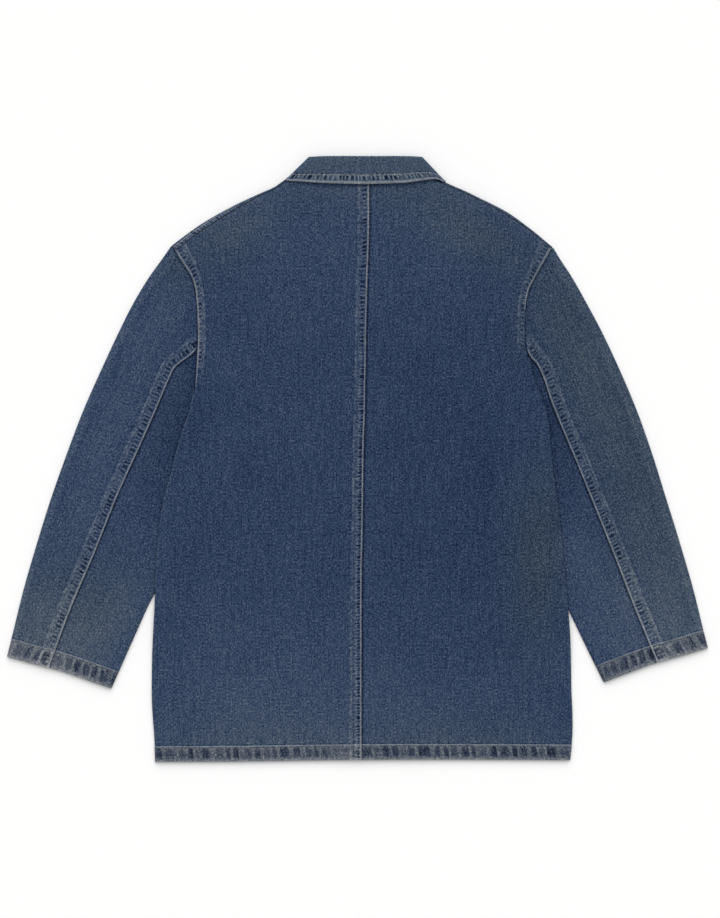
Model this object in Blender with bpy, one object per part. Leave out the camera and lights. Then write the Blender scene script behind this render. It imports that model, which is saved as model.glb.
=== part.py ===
# A boxy denim chore jacket laid flat on its front, back side up.
# +X is the wearer's right as seen from behind, +Y runs to the collar, +Z leaves the floor.
# The origin is on the floor, at the middle of the jacket's outline.
# All sizes and tables are in millimetres. A side's "out" is its distance outward from X = 0,
# and "up" is Y, so the two sides share every function and differ only in their tables.
import bpy
import numpy as np

MM = 0.001

# Cloth
CLOTH = 1.2             # one layer of washed denim
COLLAR_WALL = 2.0       # two layers and the interlining, sewn as one
GAP = 0.3               # between pieces at a seam
FELL_RISE = 0.8         # a felled seam's extra layers, on the outer side
HEM_RISE = 1.1          # a turned-up hem's extra layers

# Widths of what is sewn
BACK_FELL = 11.5
SLEEVE_FELL = 12.5
ARMHOLE_FELL = 8.0
ARMHOLE_FELL_AT_TIP = 14.0
HEM_DEPTH = 18.3
CUFF_DEPTH = 22.0

# Levels of the layers' middle surfaces above the floor
FLOOR_LAYER = 0.6       # fronts and the sleeves' undersides
BACK_LAYER = 3.4        # back panels and the sleeves' upper sides
SLEEVE_TUCKED = 2.4     # a sleeve's upper side where the body lies on it
UNDERFOLD = 4.1         # the body's cloth that is folded under, on the sleeve
OVER_SLEEVE = 8.0       # the back panel where it crosses the sleeve
CENTRE_SWELL = 3.5      # what the buttons and collar under it lift the back by
COLLAR_LIFT = 2.7       # what the collar's leaves lift the fronts by
PLACKET_LIFT = 2.5      # what the buttons lift the left front by
LAP = 2.0               # one front lying on the other
DIVE_LENGTH = 14.0      # a sleeve's edge goes under the body's side fold along this much of the armhole

# Lengths and places along the jacket
HEM_UP = -387.6
NECK_BACK_UP = 356.0
NECK_FRONT_UP = 271.5
FRONT_MIDDLE = 7.0      # X of the front's middle line
COLLAR_MIDDLE = 8.3     # X of the collar's middle
FRONT_OVERLAP = 20.0    # each front runs past the middle line by this
COLLAR_REACH = 142.0    # the collar's leaves end within this of the neck's middle
NECK_MIDDLE_UP = 345.0
BUTTON_TOP_UP = 252.0
BUTTON_PITCH = 107.0
BUTTON_COUNT = 5
BUTTON_RADIUS = 8.5
BUTTON_THICK = 2.2

# The seam down the middle of the back: x, up
CENTRE_BACK = [(13.4, 356), (13.2, 289), (11.0, 203), (7.3, 139), (4.5, -24), (2.6, -180), (3.8, -388)]

# Each side's lines, as laid: out, up
SIDES = {
    "left": {
        "sign": -1,
        # the shoulder's fold, from the neck point to the tip
        "shoulder": [(89.7, 351.0), (120.5, 339.0), (137.0, 331.3), (177.0, 311.0),
                     (209.0, 291.7), (236.3, 271.7)],
        # how far the shoulder seam lies past that fold; less than 0 is on the upper side: out, past
        "shoulder_seam": [(89.7, -0.6), (125.0, -1.0), (150.0, -2.2), (190.0, -5.0), (236.3, -6.5)],
        # the back armhole, from the tip to where the side starts to fold under
        "armhole": [(236.3, 271.7), (226.6, 254.7), (218.6, 243.2), (212.7, 233.5), (208.8, 222.7),
                    (205.8, 200.2), (204.6, 178.0), (204.2, 151.0), (205.2, 128.0), (208.0, 90.0)],
        # the armhole's hidden rest, to the underarm point
        "underarm": [(208.0, 90.0), (199.0, 62.0), (184.0, 40.0), (166.0, 24.0)],
        "side_seam": [(166.0, 24.0), (189.0, -14.0), (211.0, -56.0), (236.0, -123.0), (250.5, -180.0),
                      (257.0, -245.0), (258.0, -308.0), (254.5, -365.0), (253.7, -388.0)],
        "side_fold": [(208.0, 90.0), (212.5, 63.0), (220.0, 41.0), (229.7, 8.0), (235.0, -14.0),
                      (246.5, -56.0), (254.5, -123.0), (257.0, -180.0), (260.2, -245.0),
                      (261.2, -308.0), (257.6, -365.0), (256.8, -388.0)],
        "front_armhole": [(236.3, 271.7), (219.0, 245.0), (197.0, 205.0), (178.0, 150.0), (168.0, 95.0),
                          (164.0, 55.0), (165.5, 24.0)],
        "sleeve_outer": [(236.3, 271.7), (249.0, 253.8), (262.8, 234.7), (286.0, 196.4), (305.2, 158.0),
                         (323.1, 119.7), (348.7, 62.2), (370.4, 4.7), (390.9, -53.0), (408.8, -110.5),
                         (425.5, -168.1), (439.7, -225.6), (446.6, -253.2)],
        "sleeve_inner": [(168.5, 24.0), (199.0, -51.5), (236.0, -128.0), (265.4, -179.5), (285.5, -222.5),
                         (316.8, -292.8)],
        "sleeve_seam": [(204.7, 140.8), (214.4, 131.8), (223.4, 125.4), (232.3, 118.3), (242.6, 98.6),
                        (252.8, 74.2), (282.2, 7.7), (302.7, -37.1), (340.1, -129.3), (365.4, -188.2),
                        (394.6, -267.0)],
        "sleeve_front_seam": [(165.0, 60.0), (192.0, 15.0), (218.0, -42.0), (255.0, -119.0), (284.0, -170.0),
                              (337.0, -285.7)],
        "cuff": [(446.6, -253.2), (420.9, -260.5), (394.6, -267.0), (375.3, -272.6), (354.7, -279.6),
                 (332.7, -287.4), (316.8, -292.8)],
        "collar_top": 70.4,
        # heights at which the pieces along the back armhole share a point
        "armhole_rows": [249, 234, 217, 193, 167, 140.8, 115, 90, 86, 82, 78, 70, 48, 24],
    },
    "right": {
        "sign": 1,
        "shoulder": [(106.3, 351.0), (139.5, 338.6), (155.0, 331.4), (193.3, 311.2),
                     (221.3, 291.6), (248.3, 269.6)],
        "shoulder_seam": [(106.3, -0.6), (140.0, -0.8), (190.0, -0.8), (248.3, -0.8)],
        "armhole": [(248.3, 269.6), (240.9, 256.0), (231.8, 240.6), (224.9, 227.8), (219.3, 216.3),
                    (216.3, 203.5), (214.7, 184.3), (213.9, 158.7), (214.4, 145.9), (218.0, 131.0)],
        "underarm": [(218.0, 131.0), (213.5, 100.0), (203.0, 60.0), (181.0, 24.0)],
        "side_seam": [(181.0, 24.0), (203.0, -14.0), (223.0, -56.0), (245.0, -123.0), (258.0, -180.0),
                      (266.5, -226.0), (268.5, -283.0), (269.5, -363.0), (266.7, -388.0)],
        "side_fold": [(218.0, 131.0), (221.5, 112.0), (227.0, 93.0), (233.3, 79.0), (238.2, 65.0),
                      (242.0, 47.0), (244.7, 20.0), (247.2, -8.0), (252.2, -45.0), (258.7, -104.0),
                      (264.3, -163.0), (269.7, -226.0), (271.2, -283.0), (272.5, -363.0), (270.0, -388.0)],
        "front_armhole": [(248.3, 269.6), (232.0, 243.0), (211.0, 203.0), (192.5, 150.0), (183.0, 95.0),
                          (179.0, 55.0), (180.5, 24.0)],
        "sleeve_outer": [(248.3, 269.6), (257.9, 254.0), (270.6, 234.8), (292.5, 196.4), (312.8, 158.0),
                         (330.8, 119.6), (355.1, 62.2), (375.6, 4.6), (393.5, -52.9), (411.4, -110.5),
                         (428.0, -168.1), (442.1, -225.6), (446.6, -242.0)],
        "sleeve_inner": [(183.5, 24.0), (212.0, -51.5), (245.5, -129.0), (271.5, -192.5), (292.0, -235.0),
                         (316.8, -285.0)],
        "sleeve_seam": [(214.6, 141.0), (221.3, 130.5), (228.5, 122.9), (237.4, 105.0), (247.7, 74.2),
                        (261.0, 41.0), (279.3, -2.6), (304.4, -64.0), (329.3, -126.2), (358.8, -201.7),
                        (383.0, -260.6)],
        "sleeve_front_seam": [(180.0, 60.0), (205.0, 15.0), (230.0, -42.0), (265.0, -121.0),
                              (291.0, -183.0), (336.5, -278.0)],
        "cuff": [(446.6, -242.0), (416.0, -251.4), (383.0, -260.6), (350.0, -272.3), (316.8, -285.0)],
        "collar_top": 74.3,
        "armhole_rows": [247, 232, 216, 192, 168, 141, 131, 124, 116, 105, 78, 50, 24],
    },
}

# Half of the collar, from the middle of the back round to the front's middle: the stand's lower edge,
# the roll line, and the leaf's outer edge, each as distance from the collar's middle and up, and the
# way the collar faces there in degrees, 90 for up, 0 for outward and -90 for down.
COLLAR_SECTIONS = [
    # neck, up,     roll, up,     edge, up,     faces
    (0.0, 356.9, 0.0, 385.2, 0.0, 352.6, 90),
    (45.0, 357.9, 38.0, 385.3, 52.0, 353.0, 90),
    (82.0, 357.2, 61.0, 384.6, 92.0, 350.6, 90),
    (98.0, 352.9, 66.5, 383.2, 104.0, 349.0, 60),
    (98.0, 352.9, 66.5, 383.2, 104.0, 349.0, 0),
    (98.0, 352.9, 66.5, 383.2, 104.0, 349.0, -60),
    (94.0, 346.0, 66.0, 373.0, 103.5, 340.0, -90),
    (83.6, 330.3, 62.0, 343.0, 100.0, 308.0, -90),
    (66.2, 304.4, 49.0, 313.0, 90.0, 272.0, -90),
    (36.6, 283.4, 28.0, 290.0, 78.0, 249.0, -90),
    (2.0, 274.0, 2.0, 278.0, 64.0, 236.0, -90),
]
FRONT_ARMHOLE_ROWS = [250, 230, 203, 172, 136, 98, 60, 42, 24]
STAND_CENTRE = 5.1      # the level that the collar turns about at the neck's sides
STAND_RADIUS = 1.8
LEAF_OFF_STAND = 2.3

# Soft folds that stand up from the back and the sleeves: x, up, half length, half width, degrees, rise
SOFT_FOLDS = [
    (-150, 120, 150, 26, 82, 0.6),
    (-120, -170, 170, 30, 96, 0.5),
    (150, -30, 190, 28, 88, 0.6),
    (90, -250, 110, 26, 92, 0.4),
    (-330, -40, 150, 20, 70, 0.7),
    (-262, 150, 70, 16, 62, 0.6),
    (338, -60, 170, 22, -68, 0.7),
    (272, 160, 60, 16, -62, 0.6),
    (-205, 235, 40, 20, 40, 0.5),
    (60, 300, 60, 24, 20, 0.4),
]


def step(low, high, value):
    """Rise smoothly from 0 at low to 1 at high."""
    t = np.clip((np.asarray(value, float) - low) / (high - low), 0, 1)
    return t * t * (3 - 2 * t)


def smooth(at, rows, values):
    """Read values between their rows on a curve through every row."""
    rows = np.asarray(rows, float)
    values = np.asarray(values, float)
    slope = np.gradient(values, rows)
    at = np.asarray(at, float)
    i = np.clip(np.searchsorted(rows, at) - 1, 0, len(rows) - 2)
    span = rows[i + 1] - rows[i]
    t = (at - rows[i]) / span
    inside = np.clip(t, 0, 1)
    t2, t3 = inside ** 2, inside ** 3
    curve = ((2 * t3 - 3 * t2 + 1) * values[i] + (t3 - 2 * t2 + inside) * span * slope[i]
             + (3 * t2 - 2 * t3) * values[i + 1] + (t3 - t2) * span * slope[i + 1])
    past = np.where(t < 0, t * span * slope[i], np.where(t > 1, (t - 1) * span * slope[i + 1], 0))
    return curve + past


def out_at(table, up):
    """A line's distance outward at a height, from a table that runs downward."""
    rows = np.array(table[::-1], float)
    return smooth(up, rows[:, 1], rows[:, 0])


def path(points):
    """A smooth curve through the points, as a function of the share of its length."""
    points = np.array(points, float)
    chord = np.concatenate([[0], np.cumsum(np.linalg.norm(np.diff(points, axis=0), axis=1))])
    fine = np.linspace(0, chord[-1], 24 * len(points))
    dense = np.stack([smooth(fine, chord, points[:, k]) for k in range(points.shape[1])], -1)
    run = np.concatenate([[0], np.cumsum(np.linalg.norm(np.diff(dense, axis=0), axis=1))])

    def at(share):
        where = np.asarray(share, float) * run[-1]
        return np.stack([np.interp(where, run, dense[:, k]) for k in range(dense.shape[1])], -1)
    return at


def chained(first, second, corner):
    """Two curves in a row, which meet at the share called corner."""
    def at(share):
        share = np.asarray(share, float)
        near = first(np.clip(share / corner, 0, 1))
        far = second(np.clip((share - corner) / (1 - corner), 0, 1))
        return np.where((share < corner)[..., None], near, far)
    return at


def moved(points, distance):
    """A row of points moved sideways, to the left of its direction."""
    points = np.array(points, float)
    along = np.gradient(points[:, :2], axis=0)
    along /= np.linalg.norm(along, axis=1)[:, None]
    result = points.copy()
    result[:, 0] -= along[:, 1] * distance
    result[:, 1] += along[:, 0] * distance
    return result


def filled(left, right, top, bottom, u, v):
    """The patch between four curves that meet at their ends."""
    one = np.ones_like(u)
    a, b = u[..., None], v[..., None]
    sides = (1 - a) * left(v) + a * right(v)
    ends = (1 - b) * top(u) + b * bottom(u)
    corners = ((1 - a) * (1 - b) * top(0 * one) + a * (1 - b) * top(one)
               + (1 - a) * b * bottom(0 * one) + a * b * bottom(one))
    return sides + ends - corners


# ---- levels -------------------------------------------------------------------------------------

def soft_folds(x, up):
    total = np.zeros_like(np.asarray(x, float))
    for fold_x, fold_up, half_length, half_width, degrees, rise in SOFT_FOLDS:
        turn = np.radians(degrees)
        along = (x - fold_x) * np.cos(turn) + (up - fold_up) * np.sin(turn)
        across = (up - fold_up) * np.cos(turn) - (x - fold_x) * np.sin(turn)
        total = total + rise * np.exp(-(along / half_length) ** 2 - (across / half_width) ** 2)
    return total


def start_of_fold(side):
    return side["side_fold"][0][1]


def underarm_up(side):
    return side["underarm"][-1][1]


def sleeve_edge(side, up):
    """The inner edge of what lies under the body's side: the armhole, then the sleeve."""
    above = out_at(side["armhole"], up)
    between = out_at(side["underarm"], up)
    below = out_at(side["sleeve_inner"], up)
    return np.where(up > start_of_fold(side), above, np.where(up > underarm_up(side), between, below))


def back_height(side, out, up):
    """Middle level of the back panels' visible layer."""
    x = side["sign"] * out
    neck = 1 - step(130, 250, np.hypot(x - COLLAR_MIDDLE, up - NECK_MIDDLE_UP))
    down = 0.25 + 0.75 * step(-330, -210, up)
    centre = np.exp(-((x - FRONT_MIDDLE) / 60) ** 2) * down
    swell = CENTRE_SWELL * (1 - (1 - neck) * (1 - centre))
    climb = 1 - step(start_of_fold(side) - 45, start_of_fold(side) + 60, up)
    over = climb * (1 - step(0, 55, sleeve_edge(side, up) - out))
    return BACK_LAYER + swell + (OVER_SLEEVE - BACK_LAYER) * over + soft_folds(x, up)


def underfold_height(side, out, up):
    """Middle level of the cloth that is folded under at the body's side."""
    inboard = sleeve_edge(side, up) - out
    return FLOOR_LAYER + (UNDERFOLD - FLOOR_LAYER) * (1 - step(8, 46, inboard))


def front_height(side, out, up):
    """Middle level of a front panel."""
    x = side["sign"] * out
    collar = 1 - step(COLLAR_REACH, COLLAR_REACH + 50, np.hypot(x - COLLAR_MIDDLE, up - NECK_MIDDLE_UP))
    last_button = BUTTON_TOP_UP - (BUTTON_COUNT - 1) * BUTTON_PITCH
    placket = 1 - step(12, 26, np.abs(x - FRONT_MIDDLE))
    placket = placket * step(last_button - 60, last_button - 14, up)
    lift = PLACKET_LIFT * placket + COLLAR_LIFT * collar * (1 - placket)
    if side["sign"] > 0:
        lift = lift + LAP * (1 - step(25, 40, x - FRONT_MIDDLE))
    low = 1 - step(underarm_up(side) + 1, underarm_up(side) + 22, up)
    return FLOOR_LAYER + lift + (underfold_height(side, out, up) - FLOOR_LAYER) * low


def sleeve_height(side, out, up):
    """Middle level of a sleeve's upper layer."""
    beside = step(4, 34, out - out_at(side["side_fold"], np.minimum(up, start_of_fold(side))))
    above = step(start_of_fold(side), start_of_fold(side) + 30, up)
    free = 1 - (1 - beside) * (1 - above)
    level = SLEEVE_TUCKED + (BACK_LAYER - SLEEVE_TUCKED) * free
    return level + free * soft_folds(side["sign"] * out, up)


# ---- folds --------------------------------------------------------------------------------------

def rolled(beyond, here, there):
    """Cloth that runs past a fold: how far out it lies from the fold line, its level, its turn."""
    radius = (here - there) / 2
    angle = np.clip(beyond / np.abs(radius), 0, np.pi)
    outward = np.abs(radius) * np.sin(angle) - np.maximum(0, beyond - np.pi * np.abs(radius))
    level = (here + there) / 2 + radius * np.cos(angle)
    flat = np.where(beyond > 0, outward, beyond)
    return flat, level, angle


def shoulder_fold(side):
    """Points along the shoulder's fold line and the outward direction at each."""
    rows = np.array(side["shoulder"], float)
    out = np.arange(rows[0, 0] - 40, rows[-1, 0] + 30, 0.25)
    line = np.stack([out, smooth(out, rows[:, 0], rows[:, 1])], -1)
    along = np.gradient(line, axis=0)
    across = np.stack([-along[:, 1], along[:, 0]], -1)
    return line, across / np.linalg.norm(across, axis=1)[:, None]


def over_shoulder(side, flat, here_height, there_height):
    """Bend the part of a panel that runs past the shoulder's fold round to its other side."""
    line, normals = shoulder_fold(side)
    nearest = np.linalg.norm(flat[..., None, :] - line, axis=-1).argmin(-1)
    across = normals[nearest]
    beyond = ((flat - line[nearest]) * across).sum(-1)
    foot = flat - across * beyond[..., None]
    here = here_height(side, foot[..., 0], foot[..., 1])
    there = there_height(side, foot[..., 0], foot[..., 1])
    shift, level, angle = rolled(beyond, here, there)
    place = foot + across * shift[..., None]
    own = here_height(side, place[..., 0], place[..., 1])
    other = there_height(side, place[..., 0], place[..., 1])
    level = np.where(beyond <= 0, own, np.where(angle < np.pi, level, other))
    return np.concatenate([place, level[..., None]], -1), angle


def side_radius(side, up):
    fold = out_at(side["side_fold"], up)
    return (back_height(side, fold, up) - underfold_height(side, fold, up)) / 2


def tuck(side, up):
    """How much of the back panel runs past the body's side fold."""
    up = np.asarray(up, float)
    seam = np.where(up > underarm_up(side), out_at(side["underarm"], up), out_at(side["side_seam"], up))
    width = np.where(up < start_of_fold(side), out_at(side["side_fold"], up) - seam, 0)
    width = np.maximum(width, 0)
    return width + np.pi * side_radius(side, up) * np.minimum(1, width / 3)


def back_edge_flat(side, up):
    """The back panel's outer edge, with what is folded under laid out flat."""
    up = np.asarray(up, float)
    above = out_at(side["armhole"], up)
    below = out_at(side["side_fold"], up) + tuck(side, up)
    return np.where(up >= start_of_fold(side), above, below)


def over_side(side, place, turned):
    """Bend what runs past the body's side fold under the back panel."""
    out, up = place[..., 0], place[..., 1]
    fold = out_at(side["side_fold"], up)
    beyond = np.where((up < start_of_fold(side)), out - fold, -1)
    radius = side_radius(side, up)
    here = back_height(side, fold, up)
    shift, level, angle = rolled(beyond, here, here - 2 * radius)
    new_out = np.where(beyond > 0, fold + shift, out)
    level = np.where(angle < np.pi, level, underfold_height(side, new_out, up))
    level = np.where(beyond > 0, level, place[..., 2])
    return np.stack([new_out, up, level], -1), np.maximum(turned, np.where(beyond > 0, angle, 0))


# ---- seams that pieces share --------------------------------------------------------------------

def shoulder_seam(side, from_front):
    """The shoulder seam from the neck to the armhole, laid out in the back's or the front's plane."""
    line, across = shoulder_fold(side)
    table = np.array(side["shoulder_seam"], float)
    past = smooth(line[:, 0], table[:, 0], table[:, 1])
    place = line + across * np.minimum(past, 0)[:, None]
    inside = (line[:, 0] >= side["shoulder"][0][0]) & (place[:, 0] <= out_at(side["armhole"], place[:, 1]))
    if from_front:
        radius = (back_height(side, *line.T) - front_height(side, *line.T)) / 2
        past = np.pi * radius - past - 3 * GAP
    return (line + across * past[:, None])[inside]


def sleeve_side_of_armhole(side, up):
    """Where a sleeve's edge lies along the back armhole and on to the underarm point."""
    start = start_of_fold(side)
    above = np.maximum(up, start)
    seam_out = out_at(side["armhole"], above)
    slope = out_at(side["armhole"], above + 0.5) - out_at(side["armhole"], above - 0.5)
    scale = 1.3 * GAP / np.sqrt(1 + slope ** 2)
    level = back_height(side, seam_out, above)
    dive = 1 - step(start, start + DIVE_LENGTH, above)
    level = level + (UNDERFOLD - CLOTH - GAP - level) * dive
    edge = np.stack([seam_out + scale, above - slope * scale, level], -1)
    below = np.minimum(up, start - 0.01)
    flat = np.stack([back_edge_flat(side, below), below, back_height(side, seam_out, below)], -1)
    folded, angle = over_side(side, flat, np.zeros_like(below))
    folded[..., 0] += GAP * np.cos(np.minimum(angle, np.pi / 2))
    folded[..., 2] = underfold_height(side, folded[..., 0], below) - CLOTH - GAP
    return np.where((up > start)[..., None], edge, folded)


# ---- solids -------------------------------------------------------------------------------------

def material(name, colour, roughness, metallic=0.0):
    made = bpy.data.materials.new(name)
    made.use_nodes = True
    shader = made.node_tree.nodes["Principled BSDF"]
    shader.inputs["Base Color"].default_value = (*colour, 1)
    shader.inputs["Roughness"].default_value = roughness
    shader.inputs["Metallic"].default_value = metallic
    return made


def add_object(name, vertices, faces, colour, roughness=0.85, metallic=0.0):
    mesh = bpy.data.meshes.new(name)
    mesh.from_pydata([tuple(v) for v in np.asarray(vertices) * MM], [], faces)
    mesh.materials.append(material(name, colour, roughness, metallic))
    mesh.shade_smooth()
    mesh.set_sharp_from_angle(angle=0.7)
    bpy.context.scene.collection.objects.link(bpy.data.objects.new(name, mesh))


def shell(name, middle, thickness, raised, faces_up, colour):
    """Give a grid of middle points its wall; raised adds to the outer side alone."""
    rows, columns = middle.shape[:2]
    normal = np.cross(np.gradient(middle, axis=1), np.gradient(middle, axis=0))
    normal /= np.linalg.norm(normal, axis=-1)[..., None]
    if (normal[rows // 2, 0, 2] > 0) != faces_up:
        normal = -normal
    outer = middle + normal * (thickness / 2 + raised)[..., None]
    inner = middle - normal * thickness / 2
    vertices = np.concatenate([outer.reshape(-1, 3), inner.reshape(-1, 3)])

    def index(layer, i, j):
        return layer * rows * columns + i * columns + j
    faces = []
    for i in range(rows - 1):
        for j in range(columns - 1):
            quad = [(i, j), (i, j + 1), (i + 1, j + 1), (i + 1, j)]
            faces.append([index(0, *p) for p in quad])
            faces.append([index(1, *p) for p in quad[::-1]])
    rim = [(0, j) for j in range(columns - 1)] + [(i, columns - 1) for i in range(rows - 1)]
    rim += [(rows - 1, j) for j in range(columns - 1, 0, -1)] + [(i, 0) for i in range(rows - 1, 0, -1)]
    for a, b in zip(rim, rim[1:] + rim[:1]):
        faces.append([index(0, *b), index(0, *a), index(1, *a), index(1, *b)])
    first = outer[rows // 2, 0]
    turn = np.cross(outer[rows // 2, 1] - first, outer[rows // 2 + 1, 0] - first)
    if np.dot(turn, normal[rows // 2, 0]) < 0:
        faces = [face[::-1] for face in faces]
    add_object(name, vertices, faces, colour)


def to_world(side, points):
    return points * np.array([side["sign"], 1, 1])


# ---- body ---------------------------------------------------------------------------------------

TOP_ROWS = [0, 4.5, 10.0]                           # distance below the shoulder seam
WRAP_ROWS = [0, 1.6, 3.2, 4.8, 6.4, 8.0, 9.6, 11.4]
LOWER_ROWS = [-14, -52, -92, -128, -162, -192, -222, -262, -315]
HEM_ROWS = [HEM_UP + HEM_DEPTH + 1, HEM_UP + HEM_DEPTH, HEM_UP + HEM_DEPTH / 2, HEM_UP]


def back_columns(side, width, up):
    """Distances from the centre seam: the fell, the broad cloth, then the armhole's fell or the fold."""
    fell = ARMHOLE_FELL + (ARMHOLE_FELL_AT_TIP - ARMHOLE_FELL) * step(215, 262, up)
    spare = float(tuck(side, up))
    roll = np.pi * float(side_radius(side, up))
    roll = min(roll, spare)
    at_fold = [spare + 25, spare + 8] + [spare - roll * k / 4 for k in range(5)] + [(spare - roll) / 2, 0]
    at_armhole = [30, fell + 1, fell, 0.75 * fell, 0.55 * fell, 0.4 * fell, 0.25 * fell, 0.12 * fell, 0]
    outer = [width - max(a, b) for a, b in zip(at_fold, at_armhole)]
    inner = [0, BACK_FELL, BACK_FELL + 1.2]
    broad = np.linspace(inner[-1], outer[0], 7)[1:-1]
    return np.array(inner + list(broad) + outer), fell


def back_panel(name, side):
    armpit = underarm_up(side)
    centre = np.array(CENTRE_BACK, float)
    seam = shoulder_seam(side, False)
    tip_up = seam[-1, 1]

    def centre_out(up):
        return side["sign"] * smooth(up, centre[::-1, 1], centre[::-1, 0]) + 0.7 * GAP

    neck_start = (centre_out(NECK_BACK_UP), NECK_BACK_UP)
    neckline = path([neck_start, (0.45 * seam[0, 0], NECK_BACK_UP + 1.2),
                     (0.83 * seam[0, 0], NECK_BACK_UP), seam[0]])
    corner = (seam[0, 0] - neck_start[0]) / (seam[-1, 0] - neck_start[0])
    top = chained(neckline, path(seam[:-4:8].tolist() + [seam[-1]]), corner)

    def left(share):
        up = NECK_BACK_UP + (armpit - NECK_BACK_UP) * share
        return np.stack([centre_out(up), up], -1)

    def right(share):
        up = tip_up + (armpit - tip_up) * share
        return np.stack([back_edge_flat(side, up), up], -1)

    end = (left(np.array(1.0)), right(np.array(1.0)))

    def bottom(share):
        return end[0] + (end[1] - end[0]) * np.asarray(share)[..., None]

    drop = tip_up - armpit
    flat, rise = [], []
    for up in [tip_up - down for down in TOP_ROWS] + side["armhole_rows"]:
        down = tip_up - up
        width = float(back_edge_flat(side, up) - centre_out(up + (NECK_BACK_UP - tip_up) * (1 - down / drop)))
        columns, fell = back_columns(side, width, up)
        u = columns / width
        near_top = 1 - step(TOP_ROWS[-1], TOP_ROWS[-1] + 70, down)
        tall = drop + (NECK_BACK_UP - armpit - drop) * (1 - u)
        v = down / (drop + (tall - drop) * near_top)
        flat.append(filled(left, right, top, bottom, u, v))
        rise.append(back_rise(name, side, columns, width, fell, flat[-1][:, 1]))
    for up in LOWER_ROWS + HEM_ROWS:
        width = float(back_edge_flat(side, up) - centre_out(up))
        columns, fell = back_columns(side, width, up)
        flat.append(np.stack([centre_out(up) + columns, np.full(len(columns), up)], -1))
        rise.append(back_rise(name, side, columns, width, 0, flat[-1][:, 1]))
    flat, rise = np.array(flat), np.array(rise)
    placed, angle = over_shoulder(side, flat, back_height, front_height)
    placed, angle = over_side(side, placed, angle)
    rise = rise * np.maximum(0, np.cos(angle))
    shell(name, to_world(side, placed), CLOTH, rise, True, (0.031, 0.055, 0.105))


def back_rise(name, side, columns, width, fell, up):
    """The outer side's extra layers at a row of the back panel."""
    in_centre = (columns <= BACK_FELL) & (name == "back_left")
    centre = FELL_RISE * in_centre * (1 - step(344, 354, up))
    armhole = FELL_RISE * (width - columns <= fell) * step(start_of_fold(side), start_of_fold(side) + 30, up)
    hem = HEM_RISE * (up <= HEM_UP + HEM_DEPTH + 0.01)
    return np.maximum(centre + hem, armhole)


def front_panel(name, side):
    armpit = underarm_up(side)
    edge_out = side["sign"] * FRONT_MIDDLE - FRONT_OVERLAP
    middle = side["sign"] * COLLAR_MIDDLE
    seam = shoulder_seam(side, True)
    neckline = path([(edge_out, NECK_FRONT_UP + 0.6), (middle, NECK_FRONT_UP), (middle + 38, 279.6),
                     (middle + 68, 301.4), (middle + 86, 329.0), (middle + 96, 346.0), seam[0]])
    tip = seam[-1]
    corner = (seam[0, 0] - edge_out) / (tip[0] - edge_out)
    top = chained(neckline, path(seam[:-4:8].tolist() + [tip]), corner)
    front_tip = np.array(side["front_armhole"][0], float)

    def right(share):
        up = tip[1] + (armpit - tip[1]) * np.asarray(share, float)
        past = np.clip((up - front_tip[1]) / max(tip[1] - front_tip[1], 1e-6), 0, 1)
        line = out_at(side["front_armhole"], np.minimum(up, front_tip[1]))
        return np.stack([line - 0.1 + past * (tip[0] - front_tip[0]), up], -1)

    def left(share):
        up = NECK_FRONT_UP + 0.6 + (armpit - NECK_FRONT_UP - 0.6) * np.asarray(share, float)
        return np.stack([np.full_like(up, edge_out), up], -1)

    end = (left(np.array(1.0)), right(np.array(1.0)))

    def bottom(share):
        return end[0] + (end[1] - end[0]) * np.asarray(share)[..., None]

    first = WRAP_ROWS if side["sign"] < 0 else WRAP_ROWS[:5]
    flat = []
    for up in [tip[1] - down for down in first] + FRONT_ARMHOLE_ROWS:
        share = (tip[1] - up) / (tip[1] - armpit)
        width = float(right(share)[0] - edge_out)
        u = front_columns(side, width) / width
        flat.append(filled(left, right, top, bottom, u, np.full_like(u, share)))
    for up in LOWER_ROWS + HEM_ROWS:
        outer = float(out_at(side["side_seam"], up)) - GAP
        columns = front_columns(side, outer - edge_out)
        flat.append(np.stack([edge_out + columns, np.full(len(columns), up)], -1))
    placed, angle = over_shoulder(side, np.array(flat), front_height, back_height)
    rise = FELL_RISE * (angle >= np.pi) * step(112, 140, placed[..., 0])
    shell(name, to_world(side, placed), CLOTH, rise, False, (0.033, 0.057, 0.105))


LEFT_PLACKET = [0, 4, 8, 20, 32, 37, 42, 47]       # distances from the front's edge
RIGHT_PLACKET = [0, 8, 20, 32, 39, 45, 52, 60]


def front_columns(side, width):
    near = LEFT_PLACKET if side["sign"] < 0 else RIGHT_PLACKET
    return np.array(near + list(np.linspace(near[-1], width, 8)[1:-1]) + [width - 3, width])


# ---- sleeves ------------------------------------------------------------------------------------

SLEEVE_LENGTH = 540.0
SLEEVE_ROWS = [0, 4, 10, 22, 40, 80, 130, 185, 240, 300, 360, 420, 475]
ROLL_STEPS = 4


def sleeve_levels():
    """Shares along a sleeve: close together at the armhole, and the hem's edges exact."""
    hem = [SLEEVE_LENGTH - CUFF_DEPTH * k for k in (1.05, 1, 0.5, 0)]
    return np.array(SLEEVE_ROWS + hem) / SLEEVE_LENGTH


def through(points):
    """Straight runs through the points, as a function of the share of their length, and the shares."""
    points = np.array(points, float)
    run = np.concatenate([[0], np.cumsum(np.linalg.norm(np.diff(points[:, :2], axis=0), axis=1))])
    shares = run / run[-1]

    def at(share):
        return np.stack([np.interp(share, shares, points[:, k]) for k in range(points.shape[1])], -1)
    return at, shares


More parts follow.
